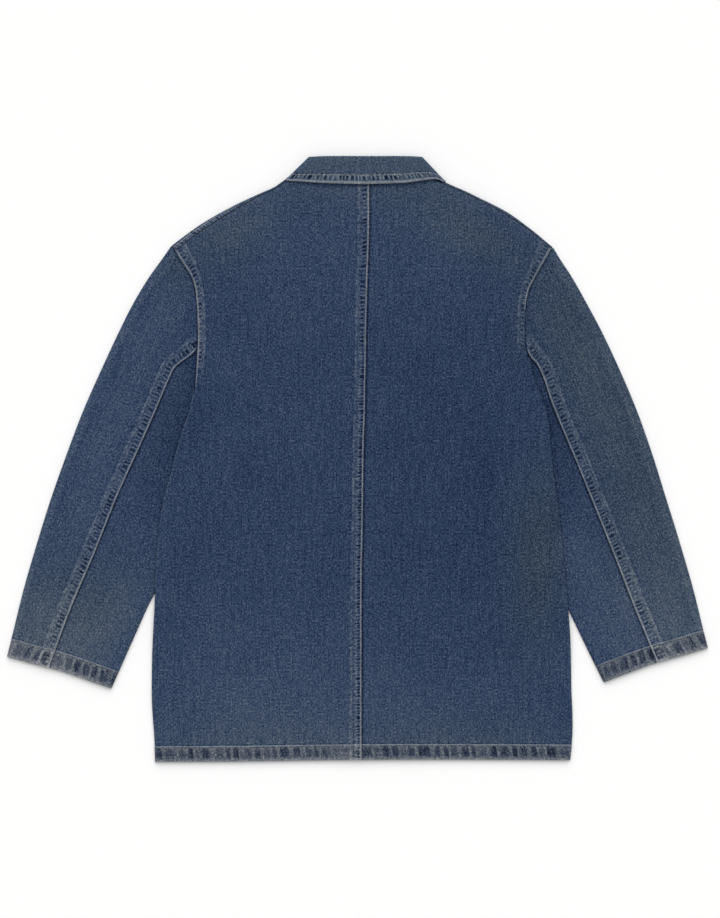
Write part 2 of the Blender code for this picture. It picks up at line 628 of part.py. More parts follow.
def sleeve_layer(side, inner, outer, head, cuff, columns, upper):
    """One flat layer of a sleeve between two lines, from its head curve to its cuff."""
    start = start_of_fold(side)
    u, v = np.meshgrid(columns, sleeve_levels())
    flat = filled(inner, outer, lambda s: head(s)[..., :2], cuff, u, v)
    if not upper:
        level = np.full(u.shape, FLOOR_LAYER)
        return np.concatenate([flat, level[..., None]], -1)
    level = sleeve_height(side, flat[..., 0], flat[..., 1])
    lift = head(columns)[:, 2] - level[0]
    reach = 7 + 19 * step(start, start + 45, head(columns)[:, 1])
    away = np.linalg.norm(flat - flat[:1], axis=-1)
    level = level + lift * (1 - step(0, 1, away / reach))
    return np.concatenate([flat, level[..., None]], -1)


def rounded_edge(upper_edge, lower_edge, away):
    """The columns that carry a sleeve's cloth round its long fold, between its two layers."""
    along = np.gradient(upper_edge[:, :2], axis=0)
    along /= np.linalg.norm(along, axis=1)[:, None]
    across = away * np.stack([-along[:, 1], along[:, 0]], -1)
    radius = (upper_edge[:, 2] - lower_edge[:, 2]) / 2
    rows = []
    for k in range(1, ROLL_STEPS):
        angle = np.pi * k / ROLL_STEPS
        place = upper_edge[:, :2] + across * (radius * np.sin(angle))[:, None]
        level = lower_edge[:, 2] + radius * (1 + np.cos(angle))
        rows.append(np.concatenate([place, level[:, None]], -1))
    return np.stack(rows, 1)


def part_of(curve, start, stop):
    return lambda share: curve(start + (stop - start) * np.asarray(share, float))


def nearest_share(curve, point):
    shares = np.linspace(0, 1, 400)
    return shares[np.linalg.norm(curve(shares) - np.array(point), axis=1).argmin()]


def sleeve_lines(side):
    """The curves that a side's two sleeve pieces are made between."""
    seam_up = side["sleeve_seam"][0][1]
    front_up = side["sleeve_front_seam"][0][1]
    tip_up = side["armhole"][0][1]
    rows = np.array(side["armhole_rows"], float)
    front_rows = np.array(FRONT_ARMHOLE_ROWS, float)
    cuff = path(side["cuff"])
    seam_at_cuff = nearest_share(cuff, side["sleeve_seam"][-1])
    front_at_cuff = nearest_share(cuff, side["sleeve_front_seam"][-1])

    def front_edge(up):
        line = np.stack([out_at(side["front_armhole"], up), up], -1)
        slope = out_at(side["front_armhole"], up + 0.5) - out_at(side["front_armhole"], up - 0.5)
        return line + GAP * np.stack([np.ones_like(up), -slope], -1) / np.sqrt(1 + slope ** 2)[:, None]

    head_up = np.concatenate([rows[rows >= seam_up][::-1], [tip_up - 8, tip_up]])
    head = sleeve_side_of_armhole(side, head_up)
    seam_run = np.subtract(side["sleeve_seam"][1], side["sleeve_seam"][0])
    edge_run = np.array([out_at(side["armhole"], seam_up - 5) - out_at(side["armhole"], seam_up), -5])
    spread = abs(np.cross(seam_run, edge_run)) / np.linalg.norm(seam_run) / np.linalg.norm(edge_run)
    low_up = np.concatenate([[seam_up - 1.5 * GAP / spread], rows[rows < seam_up]])
    under_head = sleeve_side_of_armhole(side, low_up)
    front = front_edge(np.concatenate([[tip_up], front_rows[front_rows >= front_up]]))
    front_low = front_edge(np.concatenate([front_rows[front_rows < front_up][::-1], [front_up - GAP]]))
    head[-1, :2] = front[0]
    under_head[-1, :2] = side["sleeve_inner"][0]
    front_low[0] = side["sleeve_inner"][0]

    def long_seam(table, start, stop, start_low):
        line = np.array([start] + table[1:-1] + [stop])
        low = moved(line, -1.3 * GAP)
        low[0] = start_low
        return path(line), path(low)

    seam, seam_low = long_seam(side["sleeve_seam"], tuple(head[0, :2]), tuple(cuff(seam_at_cuff)),
                               under_head[0, :2])
    front_seam, front_seam_low = long_seam(side["sleeve_front_seam"], tuple(front[-1]),
                                           tuple(cuff(front_at_cuff)), front_low[-1])
    slit = GAP / SLEEVE_LENGTH
    return {
        "head": through(head), "under_head": through(under_head),
        "front": through(front), "front_low": through(front_low),
        "seam": seam, "seam_low": seam_low, "front_seam": front_seam, "front_seam_low": front_seam_low,
        "outer": path([tuple(front[0])] + side["sleeve_outer"][1:]), "inner": path(side["sleeve_inner"]),
        "top_cuff": part_of(cuff, seam_at_cuff, 0), "top_cuff_low": part_of(cuff, 0, front_at_cuff),
        "under_cuff": part_of(cuff, seam_at_cuff + slit, 1),
        "under_cuff_low": part_of(cuff, 1, front_at_cuff + slit),
    }


def sleeve_top(name, side):
    """The piece with the sleeve's outer fold, from the back seam round to the front seam."""
    lines = sleeve_lines(side)
    head, shares = lines["head"]
    fell = SLEEVE_FELL / 190
    columns = np.array([0, fell, fell + 0.006] + [s for s in shares if s > fell + 0.03])
    upper = sleeve_layer(side, lines["seam"], lines["outer"], head, lines["top_cuff"], columns, True)
    front, shares = lines["front"]
    lower = sleeve_layer(side, lines["outer"], lines["front_seam"], front, lines["top_cuff_low"],
                         shares, False)
    edge = rounded_edge(upper[:, -1], lower[:, 0], 1)
    middle = np.concatenate([upper, edge, lower], 1)
    rise = np.zeros(middle.shape[:2])
    rise[:, :2] = FELL_RISE
    rise[:4, :2] *= np.array([0, 0.5, 1, 1])[:, None]
    rise[-3:, :len(columns)] += HEM_RISE
    shell(name, to_world(side, middle), CLOTH, rise, True, (0.045, 0.072, 0.115))


def sleeve_under(name, side):
    """The narrower piece with the sleeve's inner fold."""
    lines = sleeve_lines(side)
    head, shares = lines["under_head"]
    upper = sleeve_layer(side, lines["seam_low"], lines["inner"], head, lines["under_cuff"], shares, True)
    columns = len(shares)
    front, shares = lines["front_low"]
    lower = sleeve_layer(side, lines["inner"], lines["front_seam_low"], front, lines["under_cuff_low"],
                         shares, False)
    edge = rounded_edge(upper[:, -1], lower[:, 0], -1)
    middle = np.concatenate([upper, edge, lower], 1)
    rise = np.zeros(middle.shape[:2])
    rise[-3:, :columns] += HEM_RISE
    shell(name, to_world(side, middle), CLOTH, rise, True, (0.042, 0.068, 0.11))


# ---- collar and buttons -------------------------------------------------------------------------

COLLAR_ROWS_PER_SECTION = 2


def collar_half(side):
    """Cross-sections of half the collar, from the middle of the back to the front's middle."""
    table = np.array(COLLAR_SECTIONS, float)
    top_out = side["collar_top"]
    table[1:6, 2] *= top_out / (0.5 * (SIDES["left"]["collar_top"] + SIDES["right"]["collar_top"]))
    count = (len(table) - 1) * COLLAR_ROWS_PER_SECTION + 1
    at = np.linspace(0, len(table) - 1, count)
    read = [smooth(at, np.arange(len(table)), table[:, k]) for k in range(7)]
    neck, roll, edge = [np.stack(read[k:k + 2], -1) for k in (0, 2, 4)]
    faces = np.radians(np.clip(read[6], -90, 90))
    outward = np.stack([0.68 * np.cos(faces), 0.73 * np.cos(faces), np.sin(faces)], -1)
    sections = []
    for k in range(count):
        base = outward[k] * STAND_RADIUS + np.array([0, 0, STAND_CENTRE])
        start = np.append(neck[k], 0) + base
        turn = np.append(roll[k], 0) + base
        stop = np.append(edge[k], 0) + base + outward[k] * LEAF_OFF_STAND
        along = (turn - start) / np.linalg.norm(turn - start)
        back = turn + outward[k] * LEAF_OFF_STAND
        row = [start + (turn - start) * s for s in (0, 0.5)]
        for angle in np.radians([0, 45, 90, 135, 180]):
            row.append(turn + along * np.sin(angle) * LEAF_OFF_STAND / 2
                       + outward[k] * (1 - np.cos(angle)) * LEAF_OFF_STAND / 2)
        row += [back + (stop - back) * s for s in (0.35, 0.7, 1.0)]
        sections.append(row)
    return np.array(sections)


def collar(name):
    halves = {}
    for key, side in SIDES.items():
        half = collar_half(side)
        half[..., 0] = COLLAR_MIDDLE + side["sign"] * half[..., 0]
        halves[key] = half
    middle = np.concatenate([halves["left"][::-1], halves["right"][1:]])
    middle = middle[:, ::-1]
    shell(name, middle, COLLAR_WALL, np.zeros(middle.shape[:2]), True, (0.05, 0.075, 0.115))


def button(name, up):
    """A plain disc of a button with bevelled edges, lying face down."""
    steps = 20
    profile = [(BUTTON_RADIUS - 0.6, 0.0), (BUTTON_RADIUS, 0.7), (BUTTON_RADIUS, 1.5),
               (BUTTON_RADIUS - 0.7, BUTTON_THICK)]
    rings = []
    for radius, level in profile:
        turn = np.arange(steps) * 2 * np.pi / steps
        rings.append(np.stack([FRONT_MIDDLE + radius * np.cos(turn), up + radius * np.sin(turn),
                               np.full(steps, level)], -1))
    vertices = np.concatenate(rings)
    faces = []
    for ring in range(len(profile) - 1):
        for k in range(steps):
            a, b = ring * steps + k, ring * steps + (k + 1) % steps
            faces.append([a, b, b + steps, a + steps])
    last = (len(profile) - 1) * steps
    faces.append([k for k in range(steps)][::-1])
    faces.append([last + k for k in range(steps)])
    add_object(name, vertices, faces, (0.09, 0.075, 0.06), 0.4)


def main():
    for old in list(bpy.data.objects):
        bpy.data.objects.remove(old)
    for key, side in SIDES.items():
        back_panel("back_" + key, side)
        front_panel("front_" + key, side)
        sleeve_top("sleeve_" + key + "_top", side)
        sleeve_under("sleeve_" + key + "_under", side)
    collar("collar")
    for k in range(BUTTON_COUNT):
        button("button_" + str(k + 1), BUTTON_TOP_UP - k * BUTTON_PITCH)


main()
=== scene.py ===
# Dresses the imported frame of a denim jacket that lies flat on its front, back side up.
# Lengths are millimetres until a mesh is made. A side's "out" is its distance outward from
# X = 0 and "up" is Y, so both sides share every function and differ only in their tables.
import math
import bmesh
import bpy
import numpy as np
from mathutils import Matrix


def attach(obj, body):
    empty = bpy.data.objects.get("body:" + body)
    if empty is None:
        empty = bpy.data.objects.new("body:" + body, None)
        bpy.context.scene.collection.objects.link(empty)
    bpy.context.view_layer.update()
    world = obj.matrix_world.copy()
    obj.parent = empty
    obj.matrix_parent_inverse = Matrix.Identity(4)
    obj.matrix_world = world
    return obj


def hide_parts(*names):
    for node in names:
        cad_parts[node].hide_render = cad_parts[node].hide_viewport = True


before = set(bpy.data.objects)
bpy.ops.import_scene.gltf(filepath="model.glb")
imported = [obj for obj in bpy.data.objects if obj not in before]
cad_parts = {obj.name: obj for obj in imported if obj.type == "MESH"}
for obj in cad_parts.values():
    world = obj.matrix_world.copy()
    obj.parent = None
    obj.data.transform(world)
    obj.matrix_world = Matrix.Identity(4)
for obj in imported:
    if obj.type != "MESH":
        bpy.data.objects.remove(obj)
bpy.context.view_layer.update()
mm = 0.001
farOff = 60.0                     # a distance at which no hem and no seam's band shows
print("frame loaded")

cloth = {
    "wall": 1.2, "collarWall": 2.0, "gap": 0.3,
    "fellRise": 0.8, "hemRise": 1.1,
    "armholeFell": 9.0, "armholeFellAtTip": 15.0,
    "cuffDepth": 24.5,
}
levels = {                        # heights of the layers' middles above the floor
    "floor": 0.6, "back": 3.4, "sleeveTucked": 2.4, "underfold": 4.1, "overSleeve": 8.0,
    "centreSwell": 3.5, "collarLift": 2.7, "placketLift": 2.5, "lap": 2.0,
    # where each rise starts and ends, or how far it reaches
    "neckFade": (130, 250), "centreReach": 60, "centreFade": (-330, -210), "overBody": 55,
    "climb": (-45, 60), "underfoldFade": (8, 46), "collarFade": 50, "placketFade": (12, 26),
    "lapFade": (25, 40), "besideBody": (4, 34), "dive": 14.0, "hemFade": (-385, -230),
}
places = {
    "hemUp": -387.6, "neckBackUp": 356.0, "neckFrontUp": 271.5, "neckMiddleUp": 345.0,
    "hemLine": [(-260, 0.3), (-180, 0.6), (-60, 2.2), (5, 3.0), (90, 3.2), (180, 3.0), (270, 2.6)],
    "frontMiddle": 7.0, "collarMiddle": 8.3, "frontOverlap": 20.0, "collarReach": 142.0,
}
buttons = {
    "topUp": 252.0, "pitch": 107.0, "count": 5, "steps": 48,
    # from the middle of the outer face round to that of the inner one: out, up
    "outline": [(0, 0.9), (2.0, 0.9), (5.2, 0.95), (5.9, 0.5), (6.6, 0.12), (7.5, 0), (8.1, 0.15),
                (8.45, 0.6), (8.5, 1.2), (8.2, 1.8), (7.4, 2.2), (4.0, 2.2), (0, 2.2)],
}

# the seam down the middle of the back: x, up
centreBack = [(15.1, 356), (15.0, 300), (14.6, 272), (13.3, 240), (12.4, 205), (11.2, 158), (11.0, 125),
              (10.1, 95), (9.6, 55), (8.6, 30), (7.8, -12), (7.3, -58), (6.6, -106), (5.7, -145),
              (5.5, -190), (5.6, -235), (5.4, -275), (5.6, -388)]

# each side's lines, as laid: out, up
sides = {
    "left": {
        "sign": -1,
        "shoulder": [(75, 362), (86, 358.3), (94.7, 353.4), (98.6, 350), (102.5, 347.2),
                     (120.5, 339), (137, 331.3), (177, 311), (209, 291.7), (236.3, 271.7)],
        "neckPoint": 89.7, "neckRise": 2.5,
        "shoulderSeam": [(89.7, -0.6), (125, -1), (150, -2.2), (190, -5), (236.3, -6.5)],
        "armhole": [(236.3, 271.7), (226.6, 254.7), (218.6, 243.2), (212.7, 233.5), (208.8, 222.7),
                    (205.8, 200.2), (204.6, 178), (204.2, 151), (205.2, 128), (208, 90)],
        "underarm": [(208, 90), (199, 62), (184, 40), (166, 24)],
        "sideSeam": [(166, 24), (189, -14), (211, -56), (236, -123), (250.5, -180),
                     (257, -245), (258, -308), (254.5, -365), (253.7, -388)],
        "sideFold": [(208, 90), (212.5, 63), (220, 41), (229.7, 8), (235, -14),
                     (246.5, -56), (254.5, -123), (257, -180), (260.2, -245),
                     (261.2, -308), (257.6, -365), (256.8, -388)],
        "frontArmhole": [(236.3, 271.7), (219, 245), (197, 205), (178, 150), (168, 95),
                         (164, 55), (165.5, 24)],
        "sleeveOuter": [(236.3, 271.7), (249, 253.8), (262.8, 234.7), (286, 196.4), (305.2, 158),
                        (323.1, 119.7), (348.7, 62.2), (370.4, 4.7), (390.9, -53), (408.8, -110.5),
                        (425.5, -168.1), (439.7, -225.6), (446.6, -253.2)],
        "sleeveInner": [(168.5, 24), (199, -51.5), (236, -128), (265.4, -179.5), (285.5, -222.5),
                        (316.8, -292.8)],
        "sleeveSeam": [(204.7, 140.8), (214.4, 131.8), (223.4, 125.4), (232.3, 118.3), (242.6, 98.6),
                       (252.8, 74.2), (282.2, 7.7), (302.7, -37.1), (340.1, -129.3), (365.4, -188.2),
                       (394.6, -267)],
        "sleeveFrontSeam": [(165, 60), (192, 15), (218, -42), (255, -119), (284, -170),
                            (337, -285.7)],
        "cuff": [(446.6, -253.2), (420.9, -260.5), (394.6, -267), (375.3, -272.6), (354.7, -279.6),
                 (332.7, -287.4), (316.8, -292.8)],
        "collarTop": 70.4,
        "collarEdge": [(0, 351.2), (52, 352.7), (88, 355), (96.5, 354), (97, 353.4), (98, 352)],
    },
    "right": {
        "sign": 1,
        "shoulder": [(80, 363), (94, 358.8), (104, 354.8), (112, 351.3), (125, 345.6),
                     (139.5, 339.4), (155, 331.7), (193.3, 311.2), (221.3, 291.6), (248.3, 269.6)],
        "neckPoint": 106.3, "neckRise": 4,
        "shoulderSeam": [(106.3, -0.6), (140, -0.8), (190, -0.8), (248.3, -0.8)],
        "armhole": [(248.3, 269.6), (240.9, 256), (231.8, 240.6), (224.9, 227.8), (219.3, 216.3),
                    (216.3, 203.5), (214.7, 184.3), (213.9, 158.7), (214.4, 145.9), (218, 131)],
        "underarm": [(218, 131), (213.5, 100), (203, 60), (181, 24)],
        "sideSeam": [(181, 24), (203, -14), (223, -56), (245, -123), (258, -180),
                     (266.5, -226), (268.5, -283), (269.5, -363), (266.7, -388)],
        "sideFold": [(218, 131), (221.5, 112), (227, 93), (233.3, 79), (238.2, 65),
                     (242, 47), (244.7, 20), (247.2, -8), (252.2, -45), (258.7, -104),
                     (264.3, -163), (269.7, -226), (271.2, -283), (272.5, -363), (270, -388)],
        "frontArmhole": [(248.3, 269.6), (232, 243), (211, 203), (192.5, 150), (183, 95),
                         (179, 55), (180.5, 24)],
        "sleeveOuter": [(248.3, 269.6), (257.9, 254), (270.6, 234.8), (292.5, 196.4), (312.8, 158),
                        (330.8, 119.6), (355.1, 62.2), (375.6, 4.6), (393.5, -52.9), (411.4, -110.5),
                        (428, -168.1), (442.1, -225.6), (446.6, -242)],
        "sleeveInner": [(183.5, 24), (212, -51.5), (245.5, -129), (271.5, -192.5), (292, -235),
                        (316.8, -285)],
        "sleeveSeam": [(214.6, 141), (221.3, 130.5), (228.5, 122.9), (237.4, 105), (247.7, 74.2),
                       (261, 41), (279.3, -2.6), (304.4, -64), (329.3, -126.2), (358.8, -201.7),
                       (383, -260.6)],
        "sleeveFrontSeam": [(180, 60), (205, 15), (230, -42), (265, -121),
                            (291, -183), (336.5, -278)],
        "cuff": [(446.6, -242), (416, -251.4), (383, -260.6), (350, -272.3), (316.8, -285)],
        "collarTop": 74.3,
        "collarEdge": [(0, 351.2), (52, 353.1), (90, 357.6), (99.8, 352.6), (101, 350.8), (101, 349.8)],
    },
}

# soft folds that stand up: x, up, half length, half width, degrees, rise
softFolds = [
    (-150, 120, 150, 26, 82, 0.6),
    (-120, -170, 170, 30, 96, 0.5),
    (150, -30, 190, 28, 88, 0.6),
    (90, -250, 110, 26, 92, 0.4),
    (-330, -40, 150, 20, 70, 0.7),
    (-262, 150, 70, 16, 62, 0.6),
    (338, -60, 170, 22, -68, 0.7),
    (272, 160, 60, 16, -62, 0.6),
    (-205, 235, 40, 20, 40, 0.5),
    (60, 300, 60, 24, 20, 0.4),
]
# narrower ones, pressed in or standing up, by the seams: x, up, half length, half width, degrees, rise
creases = [
    (-226, 75, 17, 3.2, -63, -0.55),
    (-232, 92, 15, 4.0, -60, 0.45),
    (-246, 60, 26, 5.0, -66, 0.35),
    (236, 70, 22, 4.0, 66, -0.4),
    (-196, 118, 40, 7.0, 84, 0.35),
    (-186, 96, 46, 7.0, 80, -0.3),
    (203, 150, 34, 6.0, -86, 0.35),
    (196, 118, 50, 8.0, -82, -0.3),
    (-140, 330, 34, 7.0, -26, 0.3),
    (-64, 338, 26, 7.0, -72, 0.3),
    (82, 338, 26, 7.0, 72, 0.3),
    (150, 318, 34, 8.0, 30, 0.3),
    (-144, 20, 90, 9.0, 88, 0.35),
    (163, -10, 120, 10.0, 89, 0.4),
    (150, -12, 110, 8.0, 90, -0.3),
    (-36, -300, 60, 9.0, 84, 0.3),
    (-352, -120, 70, 7.0, 66, 0.35),
    (-404, -190, 50, 7.0, 70, 0.3),
    (352, -110, 80, 7.0, -66, 0.35),
    (402, -180, 50, 7.0, -70, 0.3),
]


# shared shapes

def riseStep(low, high, value):
    t = np.clip((np.asarray(value, float) - low) / (high - low), 0, 1)
    return t * t * (3 - 2 * t)


def readCurve(at, rows, values):
    rows, values, at = np.asarray(rows, float), np.asarray(values, float), np.asarray(at, float)
    slope = np.gradient(values, rows)
    i = np.clip(np.searchsorted(rows, at) - 1, 0, len(rows) - 2)
    span = rows[i + 1] - rows[i]
    t = (at - rows[i]) / span
    inside = np.clip(t, 0, 1)
    t2, t3 = inside ** 2, inside ** 3
    curve = ((2 * t3 - 3 * t2 + 1) * values[i] + (t3 - 2 * t2 + inside) * span * slope[i]
             + (3 * t2 - 2 * t3) * values[i + 1] + (t3 - t2) * span * slope[i + 1])
    past = np.where(t < 0, t * span * slope[i], np.where(t > 1, (t - 1) * span * slope[i + 1], 0))
    return curve + past


def outAt(table, up):
    rows = np.array(table[::-1], float)
    return readCurve(up, rows[:, 1], rows[:, 0])


def runAlong(line):               # the line's length up to each of its points
    return np.concatenate([[0], np.cumsum(np.linalg.norm(np.diff(line, axis=0), axis=1))])


def readLine(at, run, line):      # the line's points at these places of its run
    return np.stack([np.interp(at, run, line[:, k]) for k in range(line.shape[1])], -1)


def nearest(values, wanted):
    return int(np.argmin(abs(values - wanted)))


def curvePath(points):            # a smooth curve through the points, read by the share of its length
    points = np.array(points, float)
    chord = runAlong(points)
    fine = np.linspace(0, chord[-1], 24 * len(points))
    dense = np.stack([readCurve(fine, chord, points[:, k]) for k in range(points.shape[1])], -1)
    run = runAlong(dense)
    return lambda share: readLine(np.asarray(share, float) * run[-1], run, dense)


def straightPath(points):         # straight runs through the points, and the share at each
    points = np.array(points, float)
    run = runAlong(points[:, :2])
    shares = run / run[-1]
    return (lambda share: readLine(share, shares, points)), shares


def straightAcross(left, right):  # the straight line between the ends of two edges
    start, stop = left(np.array(1.0)), right(np.array(1.0))
    return lambda share: start + (stop - start) * np.asarray(share)[..., None]


def topEdge(neckPoints, shoulderLine):      # the neckline, then the shoulder seam
    first, last = shoulderLine[0], shoulderLine[-1]
    neckline = curvePath(neckPoints + [first])
    shoulder = curvePath(shoulderLine[:-4:8].tolist() + [last])
    start = neckPoints[0][0]
    corner = (first[0] - start) / (last[0] - start)

    def at(share):
        share = np.asarray(share, float)
        near = neckline(np.clip(share / corner, 0, 1))
        far = shoulder(np.clip((share - corner) / (1 - corner), 0, 1))
        return np.where((share < corner)[..., None], near, far)
    return at


def besideCurve(curve, points):   # each point's distance from a curve, and how far along the curve it lies
    line = curve(np.linspace(0, 1, 1400))
    run = runAlong(line)
    every = points[..., :2].reshape(-1, 2)
    away, along = np.zeros(len(every)), np.zeros(len(every))
    for part in np.array_split(np.arange(len(every)), len(every) // 1000 + 1):
        far = np.linalg.norm(every[part, None] - line, axis=-1)
        away[part], along[part] = far.min(-1), run[far.argmin(-1)]
    return away.reshape(points.shape[:-1]), along.reshape(points.shape[:-1])


def leftOf(line):                 # the unit vector to the left of the line's way, at each point
    along = np.gradient(line[:, :2], axis=0)
    across = np.stack([-along[:, 1], along[:, 0]], -1)
    return across / np.linalg.norm(across, axis=1)[:, None]


def filledPatch(left, right, top, bottom, u, v):
    one = np.ones_like(u)
    a, b = u[..., None], v[..., None]
    acrossPart = (1 - a) * left(v) + a * right(v)
    downPart = (1 - b) * top(u) + b * bottom(u)
    corners = ((1 - a) * (1 - b) * top(0 * one) + a * (1 - b) * top(one)
               + (1 - a) * b * bottom(0 * one) + a * b * bottom(one))
    return acrossPart + downPart - corners


def valueNoise(x, seed):          # smooth random values from -1 to 1 along a line
    table = np.random.default_rng(seed).uniform(-1, 1, 512)
    i = np.floor(x).astype(int)
    t = riseStep(0, 1, x - i)
    return table[i % len(table)] * (1 - t) + table[(i + 1) % len(table)] * t


def valueNoise2(x, y, seed):      # and over a surface
    table = np.random.default_rng(seed).uniform(-1, 1, (64, 64))
    size = len(table)
    i, j = np.floor(x).astype(int), np.floor(y).astype(int)
    s, t = riseStep(0, 1, x - i), riseStep(0, 1, y - j)

    def row(k):
        return table[i % size, k % size] * (1 - s) + table[(i + 1) % size, k % size] * s
    return row(j) * (1 - t) + row(j + 1) * t


def ripple(along, pitch, seed):   # uneven puckers along a seam, from -1 to 1
    phase = 2 * np.pi * along / pitch + 2.2 * valueNoise(along / (2.6 * pitch), seed)
    size = 0.62 + 0.38 * valueNoise(along / (4.1 * pitch), seed + 1)
    return size * np.sin(phase)


def ladder(along, pitch, seed):   # puckers: 0 on a rung between two hollows, up to 1 in a hollow
    phase = along / pitch + 0.6 * valueNoise(along / (3.3 * pitch), seed)
    cell = np.floor(phase).astype(int)
    part = phase - cell
    depth = 0.4 + 0.6 * np.random.default_rng(seed + 1).uniform(0, 1, 512)[cell % 512]
    return depth * riseStep(0.06, 0.3, part) * (1 - riseStep(0.7, 0.94, part))


def bump(across, middle, width):
    return np.exp(-((across - middle) / width) ** 2)


def within(value, low, high, soft):
    return riseStep(low - soft, low + soft, value) * (1 - riseStep(high - soft, high + soft, value))


def foldHeight(table, x, up):
    total = np.zeros_like(np.asarray(x, float))
    for foldX, foldUp, halfLength, halfWidth, degrees, rise in table:
        turn = math.radians(degrees)
        along = (x - foldX) * math.cos(turn) + (up - foldUp) * math.sin(turn)
        across = (up - foldUp) * math.cos(turn) - (x - foldX) * math.sin(turn)
        total = total + rise * np.exp(-(along / halfLength) ** 2 - (across / halfWidth) ** 2)
    return total


def relief(x, up):                # every fold, and the slight unevenness of cloth that was smoothed by hand
    uneven = 0.16 * valueNoise2(x / 46 + 9.3, up / 61 + 4.1, 3) + 0.1 * valueNoise2(x / 21, up / 27, 4)
    return foldHeight(softFolds, x, up) + foldHeight(creases, x, up) + uneven


# levels and folds, as in the solids

def startOfFold(side):
    return side["sideFold"][0][1]


def underarmUp(side):
    return side["underarm"][-1][1]


def sleeveEdge(side, up):
    above = outAt(side["armhole"], up)
    between = outAt(side["underarm"], up)
    below = outAt(side["sleeveInner"], up)
    return np.where(up > startOfFold(side), above, np.where(up > underarmUp(side), between, below))


def backHeight(side, out, up):
    x = side["sign"] * out
    neck = 1 - riseStep(*levels["neckFade"], np.hypot(x - places["collarMiddle"],
                                                     up - places["neckMiddleUp"]))
    down = 0.25 + 0.75 * riseStep(*levels["centreFade"], up)
    centre = bump(x, places["frontMiddle"], levels["centreReach"]) * down
    swell = levels["centreSwell"] * (1 - (1 - neck) * (1 - centre))
    below, above = levels["climb"]
    climb = 1 - riseStep(startOfFold(side) + below, startOfFold(side) + above, up)
    over = climb * (1 - riseStep(0, levels["overBody"], sleeveEdge(side, up) - out))
    return levels["back"] + swell + (levels["overSleeve"] - levels["back"]) * over + relief(x, up)


def underfoldHeight(side, out, up):
    covered = 1 - riseStep(*levels["underfoldFade"], sleeveEdge(side, up) - out)
    return levels["floor"] + (levels["underfold"] - levels["floor"]) * covered


def frontHeight(side, out, up):
    x = side["sign"] * out
    far = np.hypot(x - places["collarMiddle"], up - places["neckMiddleUp"])
    collarPart = 1 - riseStep(places["collarReach"], places["collarReach"] + levels["collarFade"], far)
    lastButton = buttons["topUp"] - (buttons["count"] - 1) * buttons["pitch"]
    placket = 1 - riseStep(*levels["placketFade"], np.abs(x - places["frontMiddle"]))
    placket = placket * riseStep(lastButton - 60, lastButton - 14, up)
    lift = levels["placketLift"] * placket + levels["collarLift"] * collarPart * (1 - placket)
    if side["sign"] > 0:
        lift = lift + levels["lap"] * (1 - riseStep(*levels["lapFade"], x - places["frontMiddle"]))
    low = 1 - riseStep(underarmUp(side) + 1, underarmUp(side) + 22, up)
    return levels["floor"] + lift + (underfoldHeight(side, out, up) - levels["floor"]) * low


def sleeveHeight(side, out, up):
    fold = outAt(side["sideFold"], np.minimum(up, startOfFold(side)))
    beside = riseStep(*levels["besideBody"], out - fold)
    above = riseStep(startOfFold(side), startOfFold(side) + 30, up)
    free = 1 - (1 - beside) * (1 - above)
    level = levels["sleeveTucked"] + (levels["back"] - levels["sleeveTucked"]) * free
    return level + free * relief(side["sign"] * out, up)


def rolled(beyond, here, there):
    radius = (here - there) / 2
    angle = np.clip(beyond / np.abs(radius), 0, np.pi)
    outward = np.abs(radius) * np.sin(angle) - np.maximum(0, beyond - np.pi * np.abs(radius))
    level = (here + there) / 2 + radius * np.cos(angle)
    return np.where(beyond > 0, outward, beyond), level, angle


def raisedHem(side, placed):      # the bottom edge as it lies, not quite straight
    x = side["sign"] * placed[..., 0]
    rise = readCurve(x, *np.array(places["hemLine"]).T) * (1 - riseStep(*levels["hemFade"], placed[..., 1]))
    placed[..., 1] += rise


def shoulderFold(side):
    rows = np.array(side["shoulder"], float)
    out = np.arange(rows[0, 0] - 25, rows[-1, 0] + 30, 0.25)
    line = np.stack([out, readCurve(out, rows[:, 0], rows[:, 1])], -1)
    return line, leftOf(line)


def overShoulder(side, flat, hereHeight, thereHeight):
    line, normals = shoulderFold(side)
    shape = flat.shape[:-1]
    points = flat.reshape(-1, 2)
    place = points.copy()
    level = hereHeight(side, points[:, 0], points[:, 1])
    turned = np.zeros(len(points))
    edge = np.interp(points[:, 0], line[:, 0], line[:, 1])
    near = np.nonzero(points[:, 1] > edge - 45)[0]
    for part in np.array_split(near, max(1, len(near) // 4000)):
        p = points[part]
        nearest = np.linalg.norm(p[:, None, :] - line, axis=-1).argmin(-1)
        across = normals[nearest]
        beyond = ((p - line[nearest]) * across).sum(-1)
        foot = p - across * beyond[:, None]
        here = hereHeight(side, foot[:, 0], foot[:, 1])
        there = thereHeight(side, foot[:, 0], foot[:, 1])
        shift, bent, angle = rolled(beyond, here, there)
        spot = foot + across * shift[:, None]
        own = hereHeight(side, spot[:, 0], spot[:, 1])
        other = thereHeight(side, spot[:, 0], spot[:, 1])
        place[part] = spot
        level[part] = np.where(beyond <= 0, own, np.where(angle < np.pi, bent, other))
        turned[part] = angle
    return np.concatenate([place, level[:, None]], -1).reshape(*shape, 3), turned.reshape(shape)


def sideRadius(side, up):
    fold = outAt(side["sideFold"], up)
    return (backHeight(side, fold, up) - underfoldHeight(side, fold, up)) / 2


def tuck(side, up):
    up = np.asarray(up, float)
    sewn = np.where(up > underarmUp(side), outAt(side["underarm"], up), outAt(side["sideSeam"], up))
    width = np.where(up < startOfFold(side), outAt(side["sideFold"], up) - sewn, 0)
    width = np.maximum(width, 0)
    return width + np.pi * sideRadius(side, up) * np.minimum(1, width / 3)


def backEdgeFlat(side, up):
    up = np.asarray(up, float)
    above = outAt(side["armhole"], up)
    below = outAt(side["sideFold"], up) + tuck(side, up)
    return np.where(up >= startOfFold(side), above, below)


